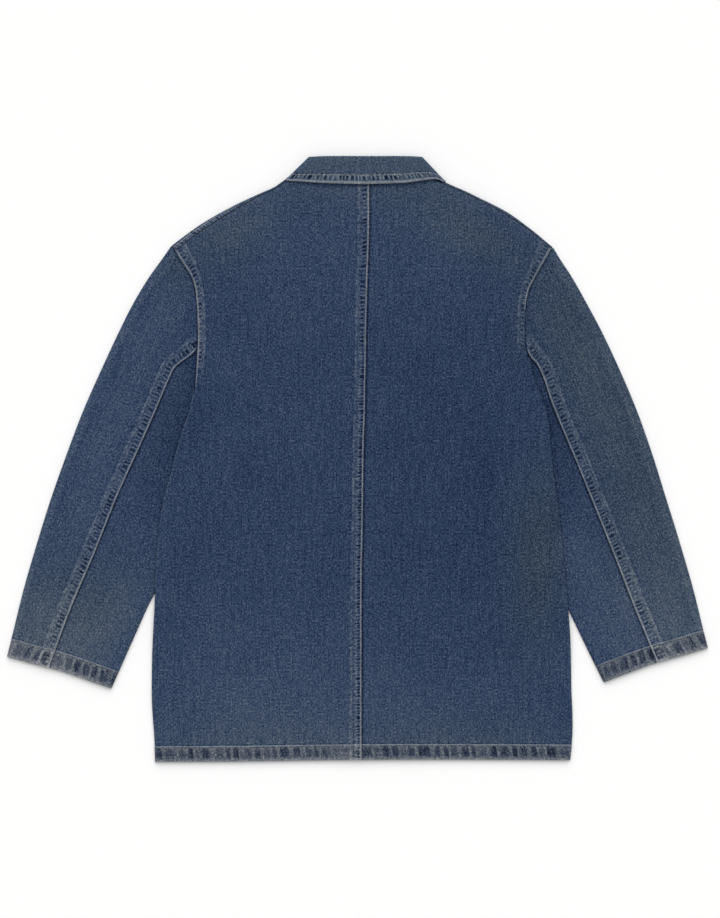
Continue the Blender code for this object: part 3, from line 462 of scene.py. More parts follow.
def overSide(side, place, turned):
    out, up = place[..., 0], place[..., 1]
    fold = outAt(side["sideFold"], up)
    beyond = np.where(up < startOfFold(side), out - fold, -1)
    radius = sideRadius(side, up)
    here = backHeight(side, fold, up)
    shift, level, angle = rolled(beyond, here, here - 2 * radius)
    newOut = np.where(beyond > 0, fold + shift, out)
    level = np.where(angle < np.pi, level, underfoldHeight(side, newOut, up))
    level = np.where(beyond > 0, level, place[..., 2])
    return np.stack([newOut, up, level], -1), np.maximum(turned, np.where(beyond > 0, angle, 0))


def shoulderSeam(side, fromFront):
    line, across = shoulderFold(side)
    table = np.array(side["shoulderSeam"], float)
    past = readCurve(line[:, 0], table[:, 0], table[:, 1])
    place = line + across * np.minimum(past, 0)[:, None]
    inside = (line[:, 0] >= side["neckPoint"]) & (place[:, 0] <= outAt(side["armhole"], place[:, 1]))
    if fromFront:
        radius = (backHeight(side, *line.T) - frontHeight(side, *line.T)) / 2
        past = np.pi * radius - past - 3 * cloth["gap"]
    return (line + across * past[:, None])[inside]


def armholeSleeveSide(side, up):
    start = startOfFold(side)
    above = np.maximum(up, start)
    seamOut = outAt(side["armhole"], above)
    slope = outAt(side["armhole"], above + 0.5) - outAt(side["armhole"], above - 0.5)
    scale = 1.3 * cloth["gap"] / np.sqrt(1 + slope ** 2)
    level = backHeight(side, seamOut, above)
    dive = 1 - riseStep(start, start + levels["dive"], above)
    tucked = levels["underfold"] - cloth["wall"] - cloth["gap"]
    level = level + (tucked - level) * dive
    edge = np.stack([seamOut + scale, above - slope * scale, level], -1)
    below = np.minimum(up, start - 0.01)
    flat = np.stack([backEdgeFlat(side, below), below, backHeight(side, seamOut, below)], -1)
    folded, angle = overSide(side, flat, np.zeros_like(below))
    folded[..., 0] += cloth["gap"] * np.cos(np.minimum(angle, np.pi / 2))
    folded[..., 2] = underfoldHeight(side, folded[..., 0], below) - cloth["wall"] - cloth["gap"]
    return np.where((up > start)[..., None], edge, folded)


# meshes

def gridFaces(rows, columns):     # quads of one grid, as vertex numbers
    i, j = np.meshgrid(np.arange(rows - 1), np.arange(columns - 1), indexing="ij")
    a = (i * columns + j).ravel()
    return np.stack([a, a + 1, a + columns + 1, a + columns], -1)


def addToScene(name, data):
    thing = bpy.data.objects.new(name, data)
    bpy.context.scene.collection.objects.link(thing)
    return thing


def addMesh(name, vertices, quads, material, cornerData=None, pointData=None):
    mesh = bpy.data.meshes.new(name)
    mesh.vertices.add(len(vertices))
    mesh.vertices.foreach_set("co", (np.asarray(vertices) * mm).ravel())
    mesh.loops.add(quads.size)
    mesh.loops.foreach_set("vertex_index", quads.ravel().astype(np.int32))
    mesh.polygons.add(len(quads))
    mesh.polygons.foreach_set("loop_start", np.arange(0, quads.size, quads.shape[1], dtype=np.int32))
    mesh.update(calc_edges=True)
    mesh.validate()
    mesh.shade_smooth()
    if cornerData is not None:
        layer = mesh.uv_layers.new(name="cut")
        layer.data.foreach_set("uv", cornerData[quads.ravel()].ravel())
    for key, values in (pointData or {}).items():
        attribute = mesh.attributes.new(key, "FLOAT", "POINT")
        attribute.data.foreach_set("value", np.asarray(values, float).ravel())
    mesh.materials.append(material)
    return addToScene(name, mesh)


def clothMesh(name, side, middle, thickness, raised, facesUp, cut, wear, hem, band, patches, material,
              inside=0.7):        # a wall round its middle grid, with only its outer face raised
    if side is not None:
        middle = middle * np.array([side["sign"], 1, 1])
    # the wear values carry painted shade and painted highlights as well as the cloth's worn tone
    wear = wear + foldHeight(patches["fadeAndShade"], middle[..., 0], middle[..., 1])
    yellow = foldHeight(patches["yellow"], middle[..., 0], middle[..., 1])
    rows, columns = middle.shape[:2]
    halfway = rows // 2
    normal = np.cross(np.gradient(middle, axis=1), np.gradient(middle, axis=0))
    normal /= np.linalg.norm(normal, axis=-1)[..., None] + 1e-12
    if (normal[halfway, 0, 2] > 0) != facesUp:
        normal = -normal
    outer = middle + normal * (thickness / 2 + raised)[..., None]
    inner = middle - normal * thickness / 2
    count = rows * columns
    face = gridFaces(rows, columns)
    ring = list(range(columns)) + [i * columns + columns - 1 for i in range(1, rows)]
    ring += [(rows - 1) * columns + j for j in range(columns - 2, -1, -1)]
    ring = np.array(ring + [i * columns for i in range(rows - 2, 0, -1)])
    following = np.roll(ring, -1)
    rim = np.stack([following, ring, ring + count, following + count], -1)
    quads = np.concatenate([face, face[:, ::-1] + count, rim])
    first = outer[halfway, 0]
    turn = np.cross(outer[halfway, 1] - first, outer[halfway + 1, 0] - first)
    if np.dot(turn, normal[halfway, 0]) < 0:
        quads = quads[:, ::-1]

    def both(values, share=1):    # the outer face's values, and a share of them on the inner face
        values = np.asarray(values, float).ravel()
        return np.concatenate([values, share * values])
    data = {"wear": both(wear, 0.2), "yellow": both(yellow), "inside": np.repeat([0, inside], count),
            "hemHeight": np.append(np.clip(hem[0], 0, farOff), np.full(count, farOff)),
            "hemRun": both(hem[1]), "bandSpot": both(band[0]), "bandRun": both(band[1]),
            "bandShare": both(band[2], 0)}
    vertices = np.concatenate([outer.reshape(-1, 3), inner.reshape(-1, 3)])
    thing = addMesh(name, vertices, quads, material, np.tile(cut.reshape(-1, 2), (2, 1)) * mm, data)
    thing["flatArea"] = quadArea(middle) * mm * mm
    return thing, outer


def quadArea(grid):
    d1 = grid[1:, 1:] - grid[:-1, :-1]
    d2 = grid[1:, :-1] - grid[:-1, 1:]
    return 0.5 * np.linalg.norm(np.cross(d1, d2), axis=-1).sum()


def asCloth(thing, node, stitches):
    del thing["flatArea"]
    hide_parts(node)
    for piece in [thing] + stitches:
        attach(piece, "root")


# finishes

def combining(operation, flipped=False):
    def operator(self, other):
        first, second = (other, self) if flipped else (self, other)
        return self.paint.node("ShaderNodeMath", {"operation": operation}, {0: first, 1: second})
    return operator


class Reading:                    # a socket that takes part in sums
    def __init__(self, paint, socket):
        self.paint, self.socket = paint, socket

    __add__, __radd__ = combining("ADD"), combining("ADD", True)
    __sub__, __rsub__ = combining("SUBTRACT"), combining("SUBTRACT", True)
    __mul__, __rmul__ = combining("MULTIPLY"), combining("MULTIPLY", True)
    __truediv__, __rtruediv__ = combining("DIVIDE"), combining("DIVIDE", True)


class Finish:                     # one material, and the one way that nodes are added to it
    def __init__(self, name, constants):
        self.material = bpy.data.materials.new(name)
        self.material.use_nodes = True
        self.tree = self.material.node_tree
        self.shader = self.tree.nodes["Principled BSDF"]
        for key, value in constants.items():
            self.shader.inputs[key].default_value = value

    def node(self, kind, settings, values, output=0):
        made = self.tree.nodes.new(kind)
        for key, value in settings.items():
            if key == "stops":
                ramp = made.color_ramp
                while len(ramp.elements) < len(value):
                    ramp.elements.new(0.5)
                for element, (position, colour) in zip(ramp.elements, value):
                    element.position, element.color = position, colour
            else:
                setattr(made, key, value)
        for key, value in values.items():
            self.feed(made.inputs[key], value)
        return Reading(self, made.outputs[output])

    def feed(self, socket, value):
        if isinstance(value, Reading):
            self.tree.links.new(value.socket, socket)
        else:
            socket.default_value = value

    def worked(self, operation, value):
        return self.node("ShaderNodeMath", {"operation": operation}, {0: value})

    def attribute(self, name):
        return self.node("ShaderNodeAttribute", {"attribute_name": name}, {}, 2)

    def place(self):              # where the point lies on the object, in metres
        return self.node("ShaderNodeTexCoord", {}, {}, 3)

    def rising(self, value, low, high):
        return self.node("ShaderNodeMapRange", {"interpolation_type": "SMOOTHSTEP"},
                         {"Value": value, "From Min": low, "From Max": high})

    def between(self, value, low, high, soft):
        return self.rising(value, low - soft, low + soft) * (1 - self.rising(value, high - soft, high + soft))

    def hollows(self, run, pitch, low=0.08, high=0.8):      # uneven puckers along a run, 0 on a rung
        lined = self.node("ShaderNodeCombineXYZ", {}, {0: run})
        drift = self.noise(lined, 0.3 / pitch, 1.0) - 0.5
        phase = run / pitch + drift * 2.4
        cell = self.worked("FLOOR", phase)
        depth = self.node("ShaderNodeTexWhiteNoise", {"noise_dimensions": "1D"}, {"W": cell})
        return (depth * 0.7 + 0.3) * self.between(phase - cell, low + 0.1, high, 0.1)

    def limited(self, value):
        return self.node("ShaderNodeClamp", {}, {"Value": value})

    def mixed(self, share, first, second, blend="MIX"):
        return self.node("ShaderNodeMix", {"data_type": "RGBA", "blend_type": blend},
                         {0: share, 6: first, 7: second}, 2)

    def noise(self, place, scale, detail=2.0, roughness=0.5, stretch=(1, 1, 1)):
        moved = self.node("ShaderNodeMapping", {}, {"Vector": place, "Scale": stretch})
        return self.node("ShaderNodeTexNoise", {"noise_dimensions": "3D"},
                         {"Vector": moved, "Scale": scale, "Detail": detail, "Roughness": roughness})

    def dress(self, colour, height, strength, distance):    # what varies over the surface
        self.feed(self.shader.inputs["Base Color"], colour)
        relief = self.node("ShaderNodeBump", {},
                           {"Strength": strength, "Distance": distance, "Height": height})
        self.feed(self.shader.inputs["Normal"], relief)


def linear(red, green, blue, gain=1.0):     # from the 0 to 255 of a colour picker
    def one(value):
        value /= 255
        return gain * (value / 12.92 if value <= 0.04045 else ((value + 0.055) / 1.055) ** 2.4)
    return (one(red), one(green), one(blue), 1.0)


denim = {
    # from unworn indigo to the bare weft, as it looks in the room's light
    "shades": [(0.0, (8, 20, 44)), (0.15, (22, 38, 66)), (0.3, (37, 54, 83)), (0.4, (47, 64, 93)),
               (0.5, (57, 74, 102)), (0.6, (69, 85, 109)), (0.7, (81, 94, 114)), (0.8, (93, 104, 120)),
               (1.0, (116, 124, 136)), (1.25, (145, 151, 160)), (1.6, (175, 179, 184))],
    "rampScale": 0.625, "gain": 0.86, "inside": (150, 158, 168), "yellow": (1.07, 0.99, 0.78, 1.0),
    "grain": 1.3, "coarseGrain": 0.35, "streak": 0.3, "cloud": 0.14, "twillPitch": 0.00078, "twill": 0.03,
    # the hem's stitch row and puckers in millimetres, how much each mark wears or hollows the cloth, and the
    # painted shade in the pinches beside the stitch row
    "hemRow": 19.3, "hemCell": 12.6, "hemSmallCell": 5.7, "aboveCell": 6.3,
    "hemGlow": 0.27, "hemHollow": 0.50, "hemSmall": 0.16, "hemThread": 0.16, "hemPinchShade": 0.16,
    # the same for the felled seams
    "seamCell": 5.1, "stripCell": 4.9, "beyondCell": 6.3,
    "seamGlow": 0.29, "seamHollow": 0.72, "seamStrip": 0.4, "seamBeyond": 0.16,
}


def denimFinish(name, shade):
    made = Finish(name, {"Roughness": 0.9, "Specular IOR Level": 0.12})
    cutPlace = made.node("ShaderNodeUVMap", {"uv_map": "cut"}, {})
    across = made.node("ShaderNodeSeparateXYZ", {}, {0: cutPlace})
    along = Reading(made, across.socket.node.outputs[1])
    grain = made.noise(cutPlace, 480, 1.0, 0.5, (1.12, 0.86, 1)) - 0.5
    coarse = made.noise(cutPlace, 130, 2.0, 0.6, (1.2, 0.8, 1)) - 0.5
    streak = made.noise(cutPlace, 420, 1.0, 0.5, (1.2, 0.05, 1)) - 0.5
    mottle = made.noise(cutPlace, 210, 2.0, 0.6) - 0.5
    cloud = made.noise(made.place(), 14, 3.0, 0.55) - 0.5
    twill = made.worked("SINE", (across + along) * (2 * math.pi / denim["twillPitch"]))
    # the hem: a lighter band with hollows, under its row of stitches
    height, run = made.attribute("hemHeight"), made.attribute("hemRun")
    row = denim["hemRow"]
    inHem = 1 - made.rising(height, row - 0.8, row + 0.6)
    tall = made.between(height + mottle * 9.0, 4.2, row - 2.6, 1.6)
    hollow = made.hollows(run + height * 0.1, denim["hemCell"]) * tall
    small = (made.hollows(run + height * 0.3, denim["hemSmallCell"])
             * made.between(height, 2.0, row - 1.5, 1.5))
    above = made.between(height, row + 0.6, row + 6, 1.5) * (0.5 - made.hollows(run, denim["aboveCell"]))
    line = made.between(height, row - 0.7, row + 0.7, 0.4)
    # painted shade in the pinched dents on both sides of the stitch row
    pinchAndShade = made.between(height, row - 2.3, row - 1.1, 0.5) + made.between(height, row + 1.1, row + 2.1, 0.5)
    edge = 1 - made.rising(height, 0.6, 2.6)
    under = made.between(height, row - 5.5, row, 1.5)
    low = 1 - made.rising(height, 1.0, 7.0)
    hemWearAndShade = (inHem * (denim["hemGlow"] + mottle * 0.6) + (under + low) * inHem * 0.07
               - hollow * denim["hemHollow"] - small * denim["hemSmall"] + line * denim["hemThread"]
               - pinchAndShade * (denim["hemPinchShade"] + mottle * 0.3) + edge * 0.08 + above * 0.16)
    # the felled seams: dark hollows between rungs, and a worn strip beyond them
    spot, seamRun = made.attribute("bandSpot"), made.attribute("bandRun")
    shifted = spot + mottle * 3.0
    cell = (made.hollows(seamRun + spot * 0.12 + mottle * 3.0, denim["seamCell"])
            * made.between(shifted, 3.0, 8.4, 0.6))
    strip = (made.hollows(seamRun * 0.8 - spot * 0.2 + 40, denim["stripCell"])
             * made.between(shifted, 8.6, 11.0, 0.7))
    beyond = made.hollows(seamRun + 90, denim["beyondCell"]) * made.between(spot, 14.5, 17.5, 1.5)
    rungs = made.between(spot, 3.0, 11.0, 0.7)
    seamWear = made.attribute("bandShare") * (
        rungs * (denim["seamGlow"] + mottle * 0.5) - cell * denim["seamHollow"]
        - strip * denim["seamStrip"] - beyond * denim["seamBeyond"])
    # the wear attribute holds painted shade and painted highlights along with the cloth's worn tone
    share = (made.attribute("wear") + shade + hemWearAndShade + seamWear + grain * denim["grain"]
             + coarse * denim["coarseGrain"] + streak * denim["streak"] + cloud * denim["cloud"]
             + twill * denim["twill"])
    stops = [(at * denim["rampScale"], linear(*colour, denim["gain"])) for at, colour in denim["shades"]]
    colour = made.node("ShaderNodeValToRGB", {"stops": stops}, {0: share * denim["rampScale"]})
    yellowed = made.mixed(1.0, colour, denim["yellow"], "MULTIPLY")
    bleached = 1 - made.rising(share, 0.62, 0.85) * 0.7
    tinted = made.attribute("yellow") * bleached * (1 - inHem * 0.8)
    colour = made.mixed(made.limited(tinted), colour, yellowed)
    colour = made.mixed(inHem * 0.4, colour, made.node("ShaderNodeRGBToBW", {}, {0: colour}))
    colour = made.mixed(made.attribute("inside"), colour, linear(*denim["inside"]))
    rise = (twill * 0.03 + grain * 0.35 - hollow * 0.5 - small * 0.2 - pinchAndShade * 0.2 + above * 0.2
            - cell * 0.5 - strip * 0.3)
    made.dress(colour, rise, 1.0, mm)
    return made.material


def threadFinish(name, colour):
    made = Finish(name, {"Roughness": 0.7, "Specular IOR Level": 0.2})
    change = made.noise(made.place(), 110, 2.0, 0.6)
    darker = tuple(0.45 * c for c in colour[:3]) + (1.0,)
    ply = made.node("ShaderNodeTexNoise", {}, {"Vector": made.place(), "Scale": 2200.0})
    made.dress(made.mixed(made.limited(change * 3.0 - 0.9), darker, colour), ply, 0.3, 0.0001)
    return made.material


bodyDenim = denimFinish("bodyDenim", 0.4)
sleeveDenim = denimFinish("sleeveDenim", 0.44)
collarDenim = denimFinish("collarDenim", 0.56)
paleThread = threadFinish("paleThread", linear(158, 164, 173))
blueThread = threadFinish("blueThread", linear(96, 106, 124))
hemThread = threadFinish("hemThread", linear(150, 156, 166))


# stitches: a Geometry Nodes tree that lays short threads along guide curves

def stitchTree():
    tree = bpy.data.node_groups.new("stitchRun", "GeometryNodeTree")
    face = tree.interface
    face.new_socket("Guide", in_out="INPUT", socket_type="NodeSocketGeometry")
    for name, value in (("Stitch Pitch", 3.2), ("Stitch Length", 2.5), ("Thread Radius", 0.34)):
        face.new_socket(name, in_out="INPUT", socket_type="NodeSocketFloat").default_value = value * mm
    face.new_socket("Seed", in_out="INPUT", socket_type="NodeSocketInt").default_value = 7
    face.new_socket("Thread", in_out="INPUT", socket_type="NodeSocketMaterial")
    face.new_socket("Stitches", in_out="OUTPUT", socket_type="NodeSocketGeometry")

    def node(kind, settings, values):
        made = tree.nodes.new(kind)
        for key, value in settings.items():
            setattr(made, key, value)
        for key, value in values.items():
            if isinstance(value, bpy.types.NodeSocket):
                tree.links.new(value, made.inputs[key])
            else:
                made.inputs[key].default_value = value
        return made
    given = tree.nodes.new("NodeGroupInput").outputs
    result = tree.nodes.new("NodeGroupOutput")
    points = node("GeometryNodeCurveToPoints", {"mode": "LENGTH"},
                  {"Curve": given["Guide"], "Length": given["Stitch Pitch"]})
    ball = node("GeometryNodeMeshUVSphere", {}, {"Segments": 6, "Rings": 5, "Radius": 1.0})
    half = node("ShaderNodeMath", {"operation": "MULTIPLY"}, {0: given["Stitch Length"], 1: 0.5})
    uneven = node("FunctionNodeRandomValue", {"data_type": "FLOAT"},
                  {2: 0.82, 3: 1.12, "Seed": given["Seed"]})
    longer = node("ShaderNodeMath", {"operation": "MULTIPLY"},
                  {0: half.outputs[0], 1: uneven.outputs[1]})
    size = node("ShaderNodeCombineXYZ", {}, {0: given["Thread Radius"], 1: given["Thread Radius"],
                                             2: longer.outputs[0]})
    placed = node("GeometryNodeInstanceOnPoints", {},
                  {"Points": points.outputs["Points"], "Instance": ball.outputs["Mesh"],
                   "Rotation": points.outputs["Rotation"], "Scale": size.outputs[0]})
    real = node("GeometryNodeRealizeInstances", {}, {0: placed.outputs[0]})
    smooth = node("GeometryNodeSetShadeSmooth", {}, {0: real.outputs[0]})
    dressed = node("GeometryNodeSetMaterial", {}, {"Geometry": smooth.outputs[0],
                                                   "Material": given["Thread"]})
    tree.links.new(dressed.outputs[0], result.inputs[0])
    return tree


stitchNodes = stitchTree()


thread = {                        # each kind of stitch: pitch, length, radius
    "thick": (2.8, 2.6, 0.5), "fine": (3.4, 2.4, 0.3), "collar": (3.1, 2.3, 0.42),
    "guidePitch": 1.6, "guideLift": 0.12,
}


def stitchRuns(name, guides, material, kind="thick"):
    curve = bpy.data.curves.new(name + "Guide", "CURVE")
    curve.dimensions = "3D"
    for guide in guides:
        spline = curve.splines.new("POLY")
        spline.points.add(len(guide) - 1)
        spline.points.foreach_set("co", np.concatenate([guide * mm, np.ones((len(guide), 1))], -1).ravel())
    source = addToScene(name + "Guide", curve)
    modifier = source.modifiers.new("stitches", "NODES")
    modifier.node_group = stitchNodes
    pitch, length, radius = [size * mm for size in thread[kind]]
    given = {"Stitch Pitch": pitch, "Stitch Length": length, "Thread Radius": radius, "Thread": material}
    for item in stitchNodes.interface.items_tree:
        if item.in_out == "INPUT" and item.name in given:
            modifier[item.identifier] = given[item.name]
    view = bpy.context.evaluated_depsgraph_get()
    mesh = bpy.data.meshes.new_from_object(source.evaluated_get(view))
    mesh.name = name
    bpy.data.objects.remove(source)
    bpy.data.curves.remove(curve)
    return addToScene(name, mesh)


def stitchGuide(line, height=thread["guideLift"]):      # evenly spaced points, lifted off the cloth
    line = line + np.array([0, 0, height])
    run = runAlong(line)
    return readLine(np.arange(0.8, run[-1] - 0.4, thread["guidePitch"]), run, line)


# the back

back = {
    "rowPitch": 1.2, "lowRowPitch": 1.45, "broadColumns": 32,
    # columns beside the centre seam, the side's fold and the armhole's fell
    "centreColumns": [0, 0.6, 1.2, 1.9, 2.5, 3.1, 4.0, 5.2, 6.4, 7.4, 8.6, 9.8, 10.8, 11.7, 12.6, 13.6,
                      15, 18, 22],
    "foldColumns": [30, 20, 12, 6, 2.5], "armColumns": [24, 15, 8, 4, 2.2, 1.0],
    "fellShares": [1.0, 0.92, 0.84, 0.75, 0.66, 0.56, 0.46, 0.37, 0.28, 0.21, 0.14, 0.07, 0.0],
    "stitchRows": (1.2, 9.8),       # from the centre seam
    "hemStitch": 19.3,              # above the bottom edge
    "puckerPitch": 5.0,
    # the band's marks lie closer in the centre seam's lower half: distance, spot
    "lowBand": [(0, 0), (2.0, 3.0), (6.4, 8.2), (8.4, 8.7), (10.6, 11), (11.6, 11.8), (14.5, 14.4),
                (400, 400)],
    # the armhole seam's run-in above the fold, glow and share of the band's marks
    "armSeam": {"left": (44, 0.10, 0.85), "right": (20, 0.02, 0.75)},
    # worn and unworn patches, and the painted shadow under the collar's edge: x, up, half length, half width,
    # degrees, share
    "fadeAndShade": [
        (-160, 292, 60, 26, 28, 0.08), (150, 280, 80, 26, -30, 0.07), (0, 400, 300, 170, 0, 0.10),
        (-140, -10, 70, 11, 88, -0.03), (163, -40, 130, 14, 90, -0.03), (-216, 62, 60, 26, 80, -0.05),
        (120, -30, 260, 110, 90, -0.055), (-60, -30, 60, 14, 90, 0.015), (-10, -10, 120, 16, 90, 0.015),
        (-130, -400, 170, 160, 0, 0.16), (140, -410, 170, 140, 0, 0.13), (-248, -240, 160, 12, 90, 0.03),
        (232, 110, 60, 20, 80, -0.03), (190, -250, 120, 60, 80, -0.02), (232, -130, 90, 30, 88, 0.06),
        # painted shadow cast by the collar's edge on to the back, in three parts that follow the edge
        (8, 349.7, 50, 2.2, 0, -0.2), (82, 353.6, 34, 2.2, 6.3, -0.2), (-66, 352.4, 34, 2.2, -3.5, -0.2),
    ],
    "yellow": [
        (-165, 285, 60, 30, 28, 0.5), (150, 290, 90, 34, -30, 0.6), (222, 190, 70, 24, 70, 0.5),
        (232, -120, 110, 38, 86, 0.85), (0, 345, 120, 26, 0, 0.3), (-130, -370, 130, 40, 0, 0.35),
        (130, -370, 130, 40, 0, 0.4),
    ],
}


seam = {                          # marks across a felled seam, in spots: 13 of them make its width
    "spots": 13.0, "ridge": (-1.0, 2.5), "band": (-2.0, 13.0), "hollows": (3.1, 10.5), "rim": (11.2, 14.4),
    "dents": ((3.0, 0.5), (10.4, 0.6)), "dentDepth": 0.2, "ridgeRise": 0.3, "ridgeWear": 0.46,
    "outside": 14.0, "outsideReach": 3.5,
}


def seamRelief(across, along, wide, pitch, seed, bright=1.0, glow=0.0):
    # outward from the bright ridge; the finish draws the hollows from the spot and the run
    spot = across * seam["spots"] / wide
    hollow = ladder(along + 0.35 * across, pitch, seed)
    fuzz = valueNoise2(across / 2.2, along / 3.4, seed + 5)
    ridge = within(across, *seam["ridge"], 0.5)
    onBand = within(spot, *seam["band"], 0.4)
    rim = within(spot, *seam["rim"], 0.5)
    lift = onBand * cloth["fellRise"] + within(spot, *seam["hollows"], 0.6) * (0.1 - 0.25 * hollow)
    for place, reach in seam["dents"]:
        lift = lift - seam["dentDepth"] * bump(spot, place, reach)
    lift = lift + seam["ridgeRise"] * ridge
    threads = 0.88 + 0.12 * np.sin(2 * np.pi * along / thread["thick"][0])
    wear = onBand * glow + seam["ridgeWear"] * bright * ridge * threads
    wear = wear + rim * (0.20 + 0.2 * fuzz) - 0.06 * bump(spot, 10.8, 0.7)
    outside = np.exp(-np.clip(spot - seam["outside"], 0, 80) / seam["outsideReach"])
    outside = outside * (spot > seam["outside"])
    return lift, wear + outside * (0.03 + 0.05 * fuzz), spot


def centreOut(side, up):
    return side["sign"] * outAt(centreBack, up) + 0.7 * cloth["gap"]


def backColumns(side, width, up):      # distances from the centre seam, and the armhole fell's width
    fell = cloth["armholeFell"] + (cloth["armholeFellAtTip"] - cloth["armholeFell"]) * riseStep(215, 262, up)
    fell = np.where(up > startOfFold(side) - 1, fell, cloth["armholeFell"])
    spare = tuck(side, up)
    roll = np.minimum(np.pi * sideRadius(side, up), spare)
    atFold = [spare + past for past in back["foldColumns"]] + [spare - roll * k / 8 for k in range(9)]
    atFold += [(spare - roll) * k / 5 for k in (4, 3, 2, 1, 0)]
    atArmhole = [fell + past for past in back["armColumns"]] + [fell * share for share in back["fellShares"]]
    outer = width[:, None] - np.maximum(np.stack(atFold, -1), np.stack(atArmhole, -1))
    inner = np.tile(np.array(back["centreColumns"], float), (len(width), 1))
    share = np.linspace(0, 1, back["broadColumns"] + 2)[1:-1]
    broad = inner[:, -1:] + (outer[:, :1] - inner[:, -1:]) * share
    return np.concatenate([inner, broad, outer], 1), fell[:, None]


def straightRows(start, columns, up):
    return np.stack([start + columns, np.tile(up[:, None], columns.shape[1])], -1)


def backGrid(side):               # the flat panel: places, columns, distance from its outer edge, fell, rows
    shoulder = shoulderSeam(side, False)
    neckOut, tipUp = shoulder[0, 0], shoulder[-1, 1]
    armpit, neckUp = underarmUp(side), places["neckBackUp"]
    drop = tipUp - armpit

    def left(share):
        up = neckUp + (armpit - neckUp) * share
        return np.stack([centreOut(side, up), up], -1)

    def right(share):
        up = tipUp + (armpit - tipUp) * share
        return np.stack([backEdgeFlat(side, up), up], -1)

    top = topEdge([(float(centreOut(side, neckUp)), neckUp), (0.45 * neckOut, neckUp + 1.2),
                   (0.83 * neckOut, neckUp + side["neckRise"])], shoulder)
    down = np.concatenate([[0, 0.6, 1.4, 2.4], np.arange(3.6, drop, back["rowPitch"])])
    up = tipUp - down
    width = backEdgeFlat(side, up) - centreOut(side, up + (neckUp - tipUp) * (1 - down / drop))
    columns, fell = backColumns(side, width, up)
    u = columns / width[:, None]
    nearTop = (1 - riseStep(10, 80, down))[:, None]
    tall = drop + (neckUp - armpit - drop) * (1 - u)
    v = down[:, None] / (drop + (tall - drop) * nearTop)
    topFlat = filledPatch(left, right, top, straightAcross(left, right), u, v)

    stitchUp = places["hemUp"] + back["hemStitch"]
    lowUp = np.concatenate([np.arange(armpit, stitchUp + 3, -back["lowRowPitch"]),
                            stitchUp + np.array([2.2, 1.2, 0.5, 0, -0.6, -1.4]),
                            np.arange(stitchUp - 2.6, places["hemUp"] + 1.6, -1.3),
                            places["hemUp"] + np.array([0.9, 0.3, 0.0])])
    lowWidth = backEdgeFlat(side, lowUp) - centreOut(side, lowUp)
    lowColumns, lowFell = backColumns(side, lowWidth, lowUp)
    flat = np.concatenate([topFlat, straightRows(centreOut(side, lowUp)[:, None], lowColumns, lowUp)])
    columns = np.concatenate([columns, lowColumns])
    width = np.concatenate([width, lowWidth])[:, None]
    return flat, columns, width - columns, np.concatenate([fell, lowFell]), np.concatenate([up, lowUp])


def centreSeam(onLeft, columns, height, seed):          # it is felled on to the left panel
    topEnd = 1 - riseStep(346, 354, height)
    if not onLeft:
        hollow = ladder(height, back["puckerPitch"], 20)
        beside = np.exp(-columns / 4.0)
        # beside the seam: puckers, and a painted shadow line just past the left panel's ridge
        wear = topEnd * (beside * (0.05 - 0.08 * hollow) - 0.32 * bump(columns, 0.6, 1.6))
        return topEnd * beside * 0.10 * (1 - 2 * hollow), wear, (farOff, height + 500, 0)
    bright = 0.78 + 0.34 * riseStep(250, 330, height) - 0.2 * bump(height, 150, 80)
    wide = 12.6 + 1.0 * riseStep(100, 200, -height) + 0.9 * bump(height, 223, 35)
    lift, wear, spot = seamRelief(columns, height, wide, back["puckerPitch"], seed, bright)
    darker = bump(height, 290, 26) + bump(height, 236, 22)
    low = riseStep(-170, -120, -height)
    wear = wear - 0.10 * darker * within(columns, 2.5, 11.5, 1.0)
    wear = wear + low * (0.13 * bump(columns, 6.6, 1.6) - 0.19 * bump(columns, 3.6, 1.3)
                         - 0.10 * bump(columns, 10.0, 0.9))
    lowSpot = np.interp(columns, *np.array(back["lowBand"]).T)
    closer = 0.28 * np.minimum(height - 150, 0)
    return topEnd * lift, topEnd * wear, (spot + (lowSpot - spot) * low, height + closer + 500, topEnd)


def armholeSeam(key, flat, fromEdge, fell, rowUp, seed):
    side, height = sides[key], flat[..., 1]
    runIn, glow, share = back["armSeam"][key]
    start = startOfFold(side)
    onArm = riseStep(start - 2, start + runIn, height)
    bright = 1.0 if key == "left" else 0.15 + 0.85 * riseStep(188, 212, height)
    away, run = fromEdge.copy(), height.copy()
    high = int((rowUp > start).sum())
    shown = len(back["armColumns"]) + len(back["fellShares"])
    away[:high, -shown:], run[:high, -shown:] = besideCurve(curvePath(side["armhole"]), flat[:high, -shown:])
    run[high:] = run[high - 1, -1] + height[high - 1, -1] - height[high:]
    lift, wear, spot = seamRelief(away, run, fell, 4.8, seed, bright, glow * (1 - riseStep(205, 240, height)))
    return onArm * lift, onArm * wear, (spot, run + 1200, onArm * share)


